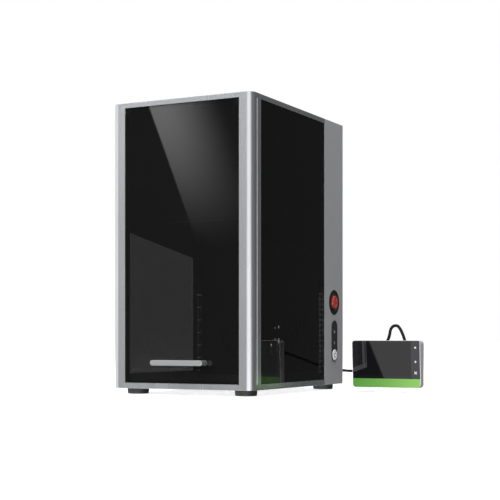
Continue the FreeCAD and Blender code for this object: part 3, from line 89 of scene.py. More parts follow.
class Shader:
    """A material with one Principled node, and short ways to drive its sockets."""

    def __init__(self, name, color, rough, metal=0.0, **sockets):
        self.material = bpy.data.materials.new(name)
        self.material.use_nodes = True
        self.tree = self.material.node_tree
        self.main = self.tree.nodes["Principled BSDF"]
        self.color = color
        self.set("Base Color", (*color, 1))
        self.set("Roughness", rough)
        self.set("Metallic", metal)
        for socket, value in sockets.items():
            self.set(socket.replace("_", " "), value)
        self.place = self.tree.nodes.new("ShaderNodeTexCoord").outputs["Object"]

    def set(self, socket, value):
        self.main.inputs[socket].default_value = value

    def link(self, source, target):
        self.tree.links.new(source, target)

    def noise(self, size, stretch=(1, 1, 1), detail=3.0):
        """Noise whose features measure about size metres, drawn out along stretch."""
        scale = self.tree.nodes.new("ShaderNodeVectorMath")
        scale.operation = "MULTIPLY"
        scale.inputs[1].default_value = [1 / (size * s) for s in stretch]
        self.link(self.place, scale.inputs[0])
        cells = self.tree.nodes.new("ShaderNodeTexNoise")
        cells.inputs["Scale"].default_value = 1
        cells.inputs["Detail"].default_value = detail
        self.link(scale.outputs[0], cells.inputs["Vector"])
        return cells.outputs["Fac"]

    def speckle(self, size, threshold, soft=0.06):
        """Small spots where a cell noise falls under the threshold."""
        cells = self.tree.nodes.new("ShaderNodeTexVoronoi")
        cells.inputs["Scale"].default_value = 1 / size
        self.link(self.place, cells.inputs["Vector"])
        return self.span(cells.outputs["Distance"], threshold, threshold + soft, 1, 0)

    def span(self, source, low, high, to_low=0.0, to_high=1.0):
        """Maps source from low..high to to_low..to_high, clamped."""
        mapped = self.tree.nodes.new("ShaderNodeMapRange")
        mapped.inputs["From Min"].default_value = low
        mapped.inputs["From Max"].default_value = high
        mapped.inputs["To Min"].default_value = to_low
        mapped.inputs["To Max"].default_value = to_high
        self.link(source, mapped.inputs["Value"])
        return mapped.outputs["Result"]

    def tint(self, mask, color):
        """Lays color over the base colour where mask is 1."""
        mix = self.tree.nodes.new("ShaderNodeMix")
        mix.data_type = "RGBA"
        socket = self.main.inputs["Base Color"]
        if socket.is_linked:
            self.link(socket.links[0].from_socket, mix.inputs["A"])
        else:
            mix.inputs["A"].default_value = socket.default_value
        mix.inputs["B"].default_value = (*color, 1)
        self.link(mask, mix.inputs["Factor"])
        self.link(mix.outputs["Result"], socket)

    def mottle(self, size, share, stretch=(1, 1, 1)):
        """Colour varies by the given share of itself."""
        other = [min(1.0, c * (1 + share)) for c in self.color]
        self.tint(self.span(self.noise(size, stretch), 0.3, 0.7), other)

    def roughen(self, size, low, high, stretch=(1, 1, 1)):
        self.link(self.span(self.noise(size, stretch), 0.3, 0.7, low, high),
                  self.main.inputs["Roughness"])

    def bump(self, height, depth, strength=1.0):
        """Raises the surface by height times depth metres, after any bump so far."""
        node = self.tree.nodes.new("ShaderNodeBump")
        node.inputs["Distance"].default_value = depth
        node.inputs["Strength"].default_value = strength
        self.link(height, node.inputs["Height"])
        socket = self.main.inputs["Normal"]
        if socket.is_linked:
            self.link(socket.links[0].from_socket, node.inputs["Normal"])
        self.link(node.outputs["Normal"], socket)

    def soften(self, radius):
        """Rounds the look of sharp edges, and returns a mask that is 1 along them."""
        bevel = self.tree.nodes.new("ShaderNodeBevel")
        bevel.samples = 4
        bevel.inputs["Radius"].default_value = radius
        self.link(bevel.outputs["Normal"], self.main.inputs["Normal"])
        geometry = self.tree.nodes.new("ShaderNodeNewGeometry")
        dot = self.tree.nodes.new("ShaderNodeVectorMath")
        dot.operation = "DOT_PRODUCT"
        self.link(bevel.outputs["Normal"], dot.inputs[0])
        self.link(geometry.outputs["Normal"], dot.inputs[1])
        return self.span(dot.outputs["Value"], 0.98, 0.75)

    def axis(self, letter):
        """One coordinate of the place, in metres."""
        split = self.tree.nodes.new("ShaderNodeSeparateXYZ")
        self.link(self.place, split.inputs[0])
        return split.outputs[letter]


# ---------------------------------------------------------------- materials


def satin_metal(name, color, rough, metal, grain_along):
    """Bead-blasted, anodised aluminium: a fine grain and faint drawing marks."""
    shader = Shader(name, color, rough, metal)
    shader.mottle(0.12, 0.05)
    shader.roughen(0.03, rough - 0.03, rough + 0.03, grain_along)
    shader.bump(shader.noise(0.35 * MM, detail=2), 0.003 * MM)
    return shader.material


def powder_coat(name, color, rough, grain=0.6 * MM):
    """Fine-textured paint, its colour lightened along sharp edges as a painted highlight."""
    shader = Shader(name, color, rough)
    painted_edge_highlight = shader.soften(0.4 * MM)
    shader.mottle(0.05, 0.25)
    # Painted highlight: the colour is lightened along sharp edges, where they would catch the light.
    shader.tint(shader.span(painted_edge_highlight, 0, 1, 0, 0.5), [c * 2.2 + 0.01 for c in color])
    shader.roughen(0.02, rough - 0.06, rough + 0.06)
    shader.bump(shader.noise(grain, detail=4), 0.03 * MM)
    return shader.material


def moulded(name, color, rough, grain=0.5 * MM, depth=0.015 * MM, vary=0.05, **sockets):
    """Moulded plastic with a fine spark-eroded texture."""
    shader = Shader(name, color, rough, **sockets)
    shader.mottle(0.02, 0.12)
    shader.roughen(0.006, rough - vary, rough + vary)
    shader.bump(shader.noise(grain, detail=3), depth)
    return shader.material


def polished(name, color):
    """Black cover glass: a clean mirror with the faintest unevenness."""
    return moulded(name, color, 0.012, 4 * MM, 0.0002 * MM, 0.006)


def rubber(name, color):
    """Matt rubber: dusty, with small pits."""
    shader = Shader(name, color, 0.55, Specular_IOR_Level=0.6)
    shader.mottle(0.008, 0.5)
    shader.roughen(0.004, 0.45, 0.65)
    shader.tint(shader.span(shader.speckle(1.6 * MM, 0.12), 0, 1, 0, 0.15), (0.12, 0.12, 0.12))
    shader.bump(shader.noise(0.4 * MM), 0.03 * MM)
    return shader.material


def ground_steel(name, color, rough, along):
    """Ground or turned metal with scratches along one direction."""
    shader = Shader(name, color, rough, 1.0)
    shader.mottle(0.02, 0.12)
    shader.roughen(0.01, rough - 0.08, rough + 0.08, along)
    shader.bump(shader.noise(0.3 * MM, along), 0.01 * MM)
    return shader.material


def smoked_glass(name, solid, color):
    """Dark tinted glass: most of the light is stopped, and the face stays a clean mirror."""
    shader = Shader(name, color, 0.01, IOR=1.62, Alpha=solid)
    shader.mottle(0.08, 0.3)
    shader.roughen(0.05, 0.006, 0.014)
    shader.material.surface_render_method = "BLENDED"
    return shader.material


def gloss_green(name):
    """Green bar under a clear coat, painted lighter towards its right end as a painted highlight, with a
    fine brushing.
    """
    low, high, _ = node_box("controller_bar")
    shader = Shader(name, (0.10, 0.42, 0.035), 0.34, Coat_Weight=0.6, Coat_Roughness=0.08)
    # Painted highlight: the green is lightened from the bar's left end to its right end.
    along = shader.span(shader.axis("X"), low.x, high.x)
    shader.tint(along, (0.27, 0.62, 0.10))
    shader.roughen(0.004, 0.28, 0.4, (8, 1, 1))
    shader.bump(shader.noise(0.5 * MM, (12, 1, 1)), 0.006 * MM)
    return shader.material


def circuit_board(name):
    """Green solder mask with paler tracks."""
    shader = Shader(name, (0.012, 0.09, 0.035), 0.35, Coat_Weight=0.3)
    shader.mottle(0.01, 0.3)
    shader.tint(shader.span(shader.noise(2.5 * MM, (1, 1, 6), 1), 0.52, 0.56, 0, 0.4),
                (0.03, 0.2, 0.07))
    shader.bump(shader.noise(0.8 * MM), 0.02 * MM)
    return shader.material


def glowing(name, color, strength):
    shader = Shader(name, color, 0.3, Emission_Color=(*color, 1), Emission_Strength=strength)
    shader.mottle(0.01, 0.05)
    shader.roughen(0.01, 0.25, 0.35)
    return shader.material


def printed(name, color, rough=0.4):
    """Screen-printed ink."""
    shader = Shader(name, color, rough)
    shader.mottle(0.004, 0.12)
    shader.roughen(0.003, rough - 0.05, rough + 0.05)
    shader.bump(shader.noise(0.25 * MM), 0.004 * MM)
    return shader.material


def cord_jacket(name):
    """Smooth vinyl jacket with faint extrusion ripples and a little dust."""
    shader = Shader(name, (0.006, 0.006, 0.0065), 0.5, Specular_IOR_Level=0.3)
    shader.mottle(0.01, 0.6)
    shader.roughen(0.005, 0.42, 0.55)
    shader.bump(shader.noise(1.2 * MM, detail=2), 0.03 * MM)
    return shader.material


UP = (1, 1, 30)
ALONG_X = (30, 1, 1)
MATERIALS = {
    "frame_metal": satin_metal("frame_metal", (0.56, 0.57, 0.59), 0.26, 0.7, UP),
    # The rear housing is the frame's satin aluminium: this copy is partly a more matt finish and partly
    # a painted lighter tone, so the rear strip reads brighter than the side rails.
    "housing_metal_painted_lighter": satin_metal("housing_metal_painted_lighter", (0.70, 0.71, 0.735), 0.42, 0.3, UP),
    "handle_metal": satin_metal("handle_metal", (0.46, 0.465, 0.47), 0.34, 0.6, ALONG_X),
    "controller_metal": satin_metal("controller_metal", (0.86, 0.87, 0.89), 0.3, 0.15, ALONG_X),
    "panel_paint": powder_coat("panel_paint", (0.022, 0.022, 0.023), 0.5),
    "cowl_paint": powder_coat("cowl_paint", (0.016, 0.016, 0.017), 0.55),
    "deck_paint": powder_coat("deck_paint", (0.16, 0.165, 0.17), 0.42),
    "bed_anodised": powder_coat("bed_anodised", (0.045, 0.046, 0.05), 0.38, 0.4 * MM),
    "door_tint": smoked_glass("door_tint", 0.64, (0.006, 0.006, 0.006)),
    "window_tint": smoked_glass("window_tint", 0.64, (0.004, 0.004, 0.004)),
    "head_paint": powder_coat("head_paint", (0.02, 0.02, 0.021), 0.45),
    "pivot_gloss": polished("pivot_gloss", (0.006, 0.006, 0.006)),
    "pivot_paint": powder_coat("pivot_paint", (0.02, 0.02, 0.02), 0.4),
    "motor_paint": powder_coat("motor_paint", (0.018, 0.018, 0.02), 0.3),
    "steel": ground_steel("steel", (0.6, 0.6, 0.61), 0.28, UP),
    "zinc_sheet": ground_steel("zinc_sheet", (0.5, 0.51, 0.52), 0.38, (4, 4, 20)),
    "bare_metal": ground_steel("bare_metal", (0.7, 0.71, 0.72), 0.33, (20, 1, 1)),
    "brass": ground_steel("brass", (0.72, 0.52, 0.22), 0.25, (6, 6, 1)),
    "mirror": ground_steel("mirror", (0.85, 0.8, 0.6), 0.09, (1, 1, 1)),
    "black_plastic": moulded("black_plastic", (0.02, 0.02, 0.021), 0.42),
    "fan_plastic": powder_coat("fan_plastic", (0.014, 0.014, 0.015), 0.65),
    "stop_black": moulded("stop_black", (0.006, 0.006, 0.006), 0.2, Coat_Weight=0.3),
    "stop_red": moulded("stop_red", (0.66, 0.045, 0.03), 0.3, Coat_Weight=0.5,
                        Coat_Roughness=0.12),
    "strip_dark": moulded("strip_dark", (0.034, 0.035, 0.038), 0.25, 0.3 * MM, 0.004 * MM,
                          Coat_Weight=0.4),
    "power_white": glowing("power_white", (0.85, 0.85, 0.85), 0.4),
    "board": circuit_board("board"),
    "rubber": rubber("rubber", (0.028, 0.03, 0.032)),
    "silicone": moulded("silicone", (0.86, 0.87, 0.88), 0.4, Alpha=0.1),
    "gasket": rubber("gasket", (0.008, 0.008, 0.008)),
    "lamp": glowing("lamp", (0.10, 0.10, 0.10), 0.02),
    "green_bar": gloss_green("green_bar"),
    "screen": polished("screen", (0.010, 0.010, 0.012)),
    "display": polished("display", (0.006, 0.006, 0.008)),
    "keys": polished("keys", (0.032, 0.033, 0.038)),
    "ink_white": printed("ink_white", (0.78, 0.78, 0.78)),
    "ink_pink": printed("ink_pink", (0.75, 0.25, 0.22)),
    # Painted light: the scale ink glows, though it is no lamp, so the marks stay bright behind the
    # tinted glass.
    "scale_ink_glow": glowing("scale_ink_glow", (0.8, 0.8, 0.8), 0.9),
    "ink_dark": printed("ink_dark", (0.02, 0.02, 0.02)),
    "sign_light": glowing("sign_light", (0.5, 0.52, 0.55), 0.1),
    "lens": moulded("lens", (0.03, 0.01, 0.06), 0.03, 1 * MM, 0, Coat_Weight=1.0),
    "cable": cord_jacket("cable"),
}

NODE_MATERIALS = {
    "frame_metal": ("base_pan", "top_cover", "front_post_left", "front_post_right"),
    "housing_metal_painted_lighter": ("rear_housing",),
    "handle_metal": ("door_handle",),
    "controller_metal": ("controller_shell",),
    "panel_paint": ("rear_panel", "door_frame", "scale_strip_left", "scale_strip_right",
                    "chamber_wall"),
    "cowl_paint": ("cowl_cheek_left", "cowl_cheek_right", "cowl_front", "cowl_ceiling"),
    "deck_paint": ("deck_tray",),
    "bed_anodised": ("bed_plate",),
    "door_tint": ("door_glass",),
    "window_tint": ("side_window_left", "side_window_right"),
    "head_paint": ("head_housing", "camera_module"),
    "pivot_gloss": ("door_pivots",),
    "pivot_paint": ("head_carriage", "lift_brackets"),
    "motor_paint": ("galvo_motors", "lift_motor", "lens_barrel"),
    "steel": ("hinge_pins", "panel_screws", "guide_rods", "linear_bearings", "lead_screw"),
    "zinc_sheet": ("rear_spine", "power_supply"),
    "bare_metal": ("galvo_block", "laser_source"),
    "brass": ("lead_nut",),
    "mirror": ("galvo_mirror_x", "galvo_mirror_y"),
    "fan_plastic": ("exhaust_fan", "duct_collar", "exhaust_rotor"),
    "board": ("control_board",),
    "black_plastic": ("mains_inlet", "rocker_switch", "cable_gland", "controller_plug"),
    "silicone": ("controller_feet",),
    "rubber": ("feet",),
    "stop_black": ("stop_bezel", "stop_plunger"),
    "stop_red": ("stop_button",),
    "strip_dark": ("control_strip",),
    "power_white": ("power_button",),
    "lamp": ("chamber_lamp",),
    "green_bar": ("controller_bar",),
    "screen": ("controller_glass",),
    "cable": ("controller_cable",),
}


def dress_cad_nodes():
    for material, names in NODE_MATERIALS.items():
        for name in names:
            slots = cad[name].material_slots
            for slot in slots:
                slot.material = MATERIALS[material]


# ---------------------------------------------------------------- mesh building blocks

AXES = {"x": Vector((1, 0, 0)), "y": Vector((0, 1, 0)), "z": Vector((0, 0, 1)),
        "-x": Vector((-1, 0, 0)), "-y": Vector((0, -1, 0)), "-z": Vector((0, 0, -1))}
SMOOTH_UNDER = math.radians(35)


def piece_from(name, mesh, material, body):
    """Turns a finished bmesh into a piece that rides on a body."""
    bmesh.ops.recalc_face_normals(mesh, faces=mesh.faces)
    data = bpy.data.meshes.new(name)
    mesh.to_mesh(data)
    mesh.free()
    data.shade_smooth()
    data.set_sharp_from_angle(angle=SMOOTH_UNDER)
    data.materials.append(MATERIALS[material])
    piece = bpy.data.objects.new(name, data)
    scene.collection.objects.link(piece)
    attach(piece, body)
    return piece


def facing(direction, origin):
    """Moves local +Z to an axis direction, with the origin at a point."""
    turn = AXES[direction].to_track_quat("Z", "Y").to_matrix().to_4x4()
    return Matrix.Translation(origin) @ turn


def lathe(mesh, origin, direction, profile, segments=48):
    """Revolves (radius, height) pairs; a radius of 0 closes to a point."""
    place = facing(direction, origin)
    rings = []
    for radius, height in profile:
        if radius == 0:
            rings.append([mesh.verts.new(place @ Vector((0, 0, height)))])
            continue
        ring = []
        for step in range(segments):
            angle = math.tau * step / segments
            at = Vector((radius * math.cos(angle), radius * math.sin(angle), height))
            ring.append(mesh.verts.new(place @ at))
        rings.append(ring)
    for low, high in zip(rings, rings[1:]):
        for step in range(segments):
            after = (step + 1) % segments
            if len(low) == 1:
                mesh.faces.new((low[0], high[step], high[after]))
            elif len(high) == 1:
                mesh.faces.new((low[step], low[after], high[0]))
            else:
                mesh.faces.new((low[step], low[after], high[after], high[step]))
    for ring in (rings[0], rings[-1]):
        if len(ring) > 1:
            mesh.faces.new(ring)


def arc(centre, radius, start, end, steps=6):
    """Points of a profile's rounded corner; angles in degrees from outward."""
    points = []
    for step in range(steps + 1):
        angle = math.radians(start + (end - start) * step / steps)
        points.append((centre[0] + radius * math.cos(angle), centre[1] + radius * math.sin(angle)))
    return points


def slab(mesh, low, high, bevel=0.0, segments=2):
    """A box between two corners, with its edges rounded."""
    made = bmesh.ops.create_cube(mesh, size=1)
    low, high = Vector(low), Vector(high)
    for vert in made["verts"]:
        vert.co = Vector([low[i] + (high[i] - low[i]) * (vert.co[i] + 0.5) for i in range(3)])
    if bevel:
        edges = {edge for vert in made["verts"] for edge in vert.link_edges}
        bmesh.ops.bevel(mesh, geom=list(edges), offset=bevel, segments=segments, affect="EDGES",
                        profile=0.5)


def prism(mesh, place, outline, thick):
    """An outline in local XY, raised along local Z."""
    low = [mesh.verts.new(place @ Vector((x, y, 0))) for x, y in outline]
    high = [mesh.verts.new(place @ Vector((x, y, thick))) for x, y in outline]
    mesh.faces.new(low)
    mesh.faces.new(high)
    for step in range(len(outline)):
        after = (step + 1) % len(outline)
        mesh.faces.new((low[step], low[after], high[after], high[step]))


def ring_outline(radius, count, start=0.0):
    return [(radius * math.cos(start + math.tau * i / count),
             radius * math.sin(start + math.tau * i / count)) for i in range(count)]


def rounded_outline(wide, high, radius, steps=6):
    """A rectangle about the origin, with round corners."""
    points = []
    corners = ((1, 1, 0), (-1, 1, 90), (-1, -1, 180), (1, -1, 270))
    for sx, sy, start in corners:
        centre = (sx * (wide / 2 - radius), sy * (high / 2 - radius))
        points += arc(centre, radius, start, start + 90, steps)
    return points


def frame_ring(mesh, place, outer, inner, thick):
    """A flat band between two outlines with equal numbers of points."""
    rows = [[mesh.verts.new(place @ Vector((x, y, z))) for x, y in outline]
            for outline, z in ((outer, 0), (outer, thick), (inner, thick), (inner, 0))]
    count = len(outer)
    for this, other in zip(rows, rows[1:] + rows[:1]):
        for step in range(count):
            after = (step + 1) % count
            mesh.faces.new((this[step], this[after], other[after], other[step]))


# ---------------------------------------------------------------- the cable

# The route's points, the same as in the CAD source, in metres.
CABLE_ROUTE = (
    (0.0075, 0.208, 0.04), (0.0075, 0.228, 0.04), (0.0155, 0.248, 0.0345),
    (0.0455, 0.258, 0.034), (0.0645, 0.239, 0.034), (0.0725, 0.21, 0.038),
    (0.0765, 0.18, 0.045), (0.0845, 0.149, 0.053), (0.1005, 0.125, 0.063),
    (0.1245, 0.11, 0.073), (0.1495, 0.103, 0.079), (0.1655, 0.1005, 0.089),
    (0.1735, 0.0985, 0.104), (0.176, 0.0975, 0.1195), (0.1846, 0.0965, 0.1257),
    (0.1949, 0.095, 0.1229), (0.2071, 0.093, 0.0965), (0.2085, 0.091, 0.077),
    (0.2085, 0.091, 0.056),
)
CABLE_RADIUS = 2.8 * MM


def make_cable():
    curve = bpy.data.curves.new("cable_run", "CURVE")
    curve.dimensions = "3D"
    spline = curve.splines.new("NURBS")
    spline.points.add(len(CABLE_ROUTE) - 1)
    for point, place in zip(spline.points, CABLE_ROUTE):
        point.co = (*place, 1)
    spline.order_u = 3
    spline.use_endpoint_u = True
    spline.resolution_u = 10
    curve.bevel_depth = CABLE_RADIUS
    curve.bevel_resolution = 6
    curve.use_fill_caps = True
    curve.materials.append(MATERIALS["cable"])
    cable = bpy.data.objects.new("cable_run", curve)
    scene.collection.objects.link(cable)
    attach(cable, "root")
    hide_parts("controller_cable")


# ---------------------------------------------------------------- feet

FOOT_RADIUS = 19.8 * MM


def make_feet():
    """Four turned rubber feet with a groove, a rounded shoulder and a soft lower edge."""
    low, high, _ = node_box("feet")
    radius, tall = FOOT_RADIUS, high.z
    profile = [(0, 0.4 * MM), (radius - 5 * MM, 0.4 * MM), (radius - 4.6 * MM, 0)]
    profile += arc((radius - 2.8 * MM, 2.4 * MM), 2.4 * MM, -90, -20)
    profile += [(radius - 0.2 * MM, 3.2 * MM), (radius - 0.9 * MM, 3.5 * MM),
                (radius - 0.9 * MM, 4.0 * MM), (radius - 0.1 * MM, 4.3 * MM)]
    profile += arc((radius - 1.5 * MM, tall - 2.2 * MM), 1.5 * MM, 0, 75)
    profile += [(radius - 2.2 * MM, tall), (0, tall)]
    mesh = bmesh.new()
    for x in (low.x + radius, high.x - radius):
        for y in (low.y + radius, high.y - radius):
            lathe(mesh, (x, y, 0), "z", profile, 64)
    piece = piece_from("feet_moulded", mesh, "rubber", "root")
    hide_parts("feet")


# ---------------------------------------------------------------- side controls

def make_stop_knob():
    """Mushroom button: knurled rim, dished crown and three turning arrows."""
    low, high, centre = node_box("stop_button")
    radius, tall = (high.z - low.z) / 2, high.x - low.x
    base = Vector((low.x, centre.y, centre.z))
    profile = [(radius - 3.6 * MM, 0), (radius - 1.4 * MM, 0.1 * MM)]
    profile += arc((radius - 1.1 * MM, 1.2 * MM), 1.1 * MM, -75, 20, 5)
    profile += arc((radius - 2.2 * MM, tall - 2.1 * MM), 2.1 * MM, 15, 100, 8)
    profile += [(radius - 4.5 * MM, tall - 0.15 * MM), (radius - 6.5 * MM, tall - 0.7 * MM),
                (radius - 9.5 * MM, tall - 0.9 * MM), (0, tall - 0.95 * MM)]
    mesh = bmesh.new()
    lathe(mesh, base, "x", profile, 64)
    knob = piece_from("stop_knob_moulded", mesh, "stop_red", "stop_knob")
    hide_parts("stop_button")
    make_stop_ribs(base, radius)
    make_stop_arrows(base, radius, tall)


def make_stop_ribs(base, radius, count=24):
    """Grip ribs round the mushroom's rim."""
    mesh = bmesh.new()
    for step in range(count):
        angle = math.tau * step / count
        turn = Matrix.Rotation(angle, 4, "Z")
        place = facing("x", base) @ turn @ Matrix.Translation((radius - 0.55 * MM, 0, 1.5 * MM))
        prism(mesh, place, rounded_outline(0.9 * MM, 1.1 * MM, 0.4 * MM, 3), 2.2 * MM)
    piece_from("stop_knob_ribs", mesh, "stop_red", "stop_knob")


def make_stop_arrows(base, radius, tall):
    """Three arc-shaped arrows raised on the crown, showing the way to turn."""
    mesh = bmesh.new()
    middle, half = radius - 5.6 * MM, 0.55 * MM
    sweep, steps = math.radians(62), 8
    for part in range(3):
        start = math.tau * part / 3
        outer = []
        inner = []
        for step in range(steps + 1):
            angle = start + sweep * step / steps
            outer.append(((middle + half) * math.cos(angle), (middle + half) * math.sin(angle)))
            inner.append(((middle - half) * math.cos(angle), (middle - half) * math.sin(angle)))
        tip = start + sweep + math.radians(24)
        end = start + sweep
        head = [((middle + 2.6 * half) * math.cos(end), (middle + 2.6 * half) * math.sin(end)),
                (middle * math.cos(tip), middle * math.sin(tip)),
                ((middle - 2.6 * half) * math.cos(end), (middle - 2.6 * half) * math.sin(end))]
        place = facing("x", base) @ Matrix.Translation((0, 0, tall - 0.75 * MM))
        prism(mesh, place, outer + head + inner[::-1], 0.45 * MM)
    piece_from("stop_knob_arrows", mesh, "ink_pink", "stop_knob")


def make_stop_collar():
    """A turned lip and a ring of knurls on the stop switch's black case."""
    low, high, centre = node_box("stop_bezel")
    radius = (high.z - low.z) / 2
    face = Vector((high.x, centre.y, centre.z))
    mesh = bmesh.new()
    lip = [(14.6 * MM, -1.2 * MM)]
    lip += arc((15.6 * MM, -0.1 * MM), 0.8 * MM, 180, 0, 8)
    lip += [(16.6 * MM, -1.2 * MM)]
    lathe(mesh, face, "x", lip, 64)
    piece_from("stop_lip", mesh, "stop_black", "root")
    mesh = bmesh.new()
    count = 40
    for step in range(count):
        turn = Matrix.Rotation(math.tau * step / count, 4, "Z")
        place = facing("x", face) @ turn @ Matrix.Translation((radius - 2.9 * MM, 0, -0.3 * MM))
        prism(mesh, place, rounded_outline(2.0 * MM, 0.5 * MM, 0.2 * MM, 2), 0.4 * MM)
    piece_from("stop_knurl", mesh, "stop_black", "root")


def make_strip_signs():
    """Two small lit signs and a border on the pill-shaped strip."""
    low, high, centre = node_box("control_strip")
    face_x = high.x
    wide, tall = high.y - low.y, high.z - low.z
    # facing("x") lays local X along the depth and local Y upright, as the pill stands.
    place = facing("x", (face_x - 0.1 * MM, centre.y, centre.z))
    outer = rounded_outline(wide - 0.8 * MM, tall - 0.8 * MM, wide / 2 - 0.41 * MM, 16)
    inner = rounded_outline(wide - 3.6 * MM, tall - 3.6 * MM, wide / 2 - 1.81 * MM, 16)
    mesh = bmesh.new()
    frame_ring(mesh, place, outer, inner, 0.45 * MM)
    piece_from("strip_border", mesh, "stop_black", "root")

    mesh = bmesh.new()
    sign = facing("x", (face_x - 0.05 * MM, centre.y - 1.2 * MM, centre.z + 18 * MM))
    frame_ring(mesh, sign, ring_outline(2.9 * MM, 24), ring_outline(2.1 * MM, 24), 0.2 * MM)
    prism(mesh, sign, ring_outline(0.9 * MM, 16), 0.2 * MM)
    lower = (face_x - 0.05 * MM, centre.y - 1.2 * MM, centre.z - 3.5 * MM)
    for step in (-1, 0, 1):
        at = Vector(lower) + Vector((0, 0, step * 2.1 * MM))
        slab(mesh, at - Vector((0, 2.6 * MM, 0.5 * MM)), at + Vector((0.2 * MM, 2.6 * MM, 0.5 * MM)))
    piece_from("strip_signs", mesh, "sign_light", "root")


def make_power_symbol():
    """The standby sign, an open ring and a bar, on the white power button."""
    low, high, centre = node_box("power_button")
    face = Vector((high.x, centre.y, centre.z))
    radius = (high.z - low.z) / 2
    mesh = bmesh.new()
    place = facing("x", face - Vector((0.12 * MM, 0, 0)))
    frame_ring(mesh, place, ring_outline(radius - 0.7 * MM, 48), ring_outline(radius - 1.7 * MM, 48),
               0.2 * MM)
    gap, sweep_steps = math.radians(38), 24
    middle, half = 4.6 * MM, 0.9 * MM
    outer = []
    inner = []
    up = Vector((0, 0, 1))
    for step in range(sweep_steps + 1):
        angle = gap + (math.tau - 2 * gap) * step / sweep_steps
        direction = Vector((0, math.sin(angle), math.cos(angle)))
        outer.append(direction * (middle + half))
        inner.append(direction * (middle - half))
    start = face - Vector((0.12 * MM, 0, 0))
    rows = [[mesh.verts.new(start + p + Vector((x, 0, 0))) for p in points]
            for points, x in ((outer, 0), (outer, 0.25 * MM), (inner, 0.25 * MM), (inner, 0))]
    for this, other in zip(rows, rows[1:] + rows[:1]):
        for step in range(sweep_steps):
            mesh.faces.new((this[step], this[step + 1], other[step + 1], other[step]))
    for step in (0, -1):
        mesh.faces.new([row[step] for row in rows])
    bar = start + up * middle
    slab(mesh, bar - Vector((0, half, 3.4 * MM)), bar + Vector((0.25 * MM, half, 2.4 * MM)), 0.1 * MM)
    piece_from("power_symbol", mesh, "ink_dark", "power")


# ---------------------------------------------------------------- scales in the chamber

CENTIMETRE = 10 * MM
SCALE_INSET = 13 * MM
INCH = 25.4 * MM


def numeral(mesh, text, place, size):
    """A printed numeral, taken from the built-in font."""
    curve = bpy.data.curves.new("numeral", "FONT")
    curve.body = text
    curve.size = size
    curve.resolution_u = 2
    curve.extrude = 0.05 * MM
    curve.align_x = "CENTER"
    curve.align_y = "CENTER"
    holder = bpy.data.objects.new("numeral", curve)
    scene.collection.objects.link(holder)
    bpy.context.view_layer.update()
    shape = bpy.data.meshes.new_from_object(holder.evaluated_get(
        bpy.context.evaluated_depsgraph_get()))
    shape.transform(place)
    mesh.from_mesh(shape)
    bpy.data.meshes.remove(shape)
    bpy.data.objects.remove(holder)
    bpy.data.curves.remove(curve)


def make_scale(name, strip, side, step, count, divisions):
    """Ticks and numerals on one face of a scale strip, in a glowing ink that is painted light keeping
    them bright behind the tinted glass; side is +1 for its +X face.
    """
    low, high, _ = node_box(strip)
    face = high.x if side > 0 else low.x
    start = low.z
    near = low.y + SCALE_INSET
    mesh = bmesh.new()
    thick = 0.12 * MM
    for mark in range(count * divisions + 1):
        z = start + mark * step / divisions
        if z > high.z - 1 * MM:
            break
        whole = mark % divisions == 0
        half_mark = mark * 2 % divisions == 0
        length = (9 if whole else 6 if half_mark else 3.6) * MM
        tall = (1.1 if whole else 0.5) * MM
        a = Vector((face - thick / 2, near, z - tall / 2))
        b = Vector((face + thick / 2, near + length, z + tall / 2))
        slab(mesh, a, b)
        if whole and mark:
            turn = Matrix.Rotation(side * math.pi / 2, 4, "Z") @ Matrix.Rotation(math.pi / 2, 4, "X")
            at = Matrix.Translation((face, near + 15 * MM, z))
            numeral(mesh, str(mark // divisions), at @ turn, 6 * MM)
    piece_from(name, mesh, "scale_ink_glow", "root")


def make_scales():
    for side, tag in ((1, "outer"), (-1, "inner")):
        make_scale(f"scale_marks_right_{tag}", "scale_strip_right", side, CENTIMETRE, 15, 2)
        make_scale(f"scale_marks_left_{tag}", "scale_strip_left", side, INCH, 6, 4)


# ---------------------------------------------------------------- controller

def face_place():
    """A frame on the controller's leaning face: local X right, local Y up along the face."""
    low, high, _ = node_box("controller_glass")
    lean = (high.y - low.y - 1.5 * MM) / (high.z - low.z)
    up = Vector((0, -lean, 1)).normalized()
    right = Vector((1, 0, 0))
    out = right.cross(up)
    origin = Vector(((low.x + high.x) / 2, (low.y + high.y - 1.5 * MM) / 2, (low.z + high.z) / 2))
    turn = Matrix((right, up, out)).transposed().to_4x4()
    return Matrix.Translation(origin) @ turn, high.x - low.x, (high.z - low.z) / up.z


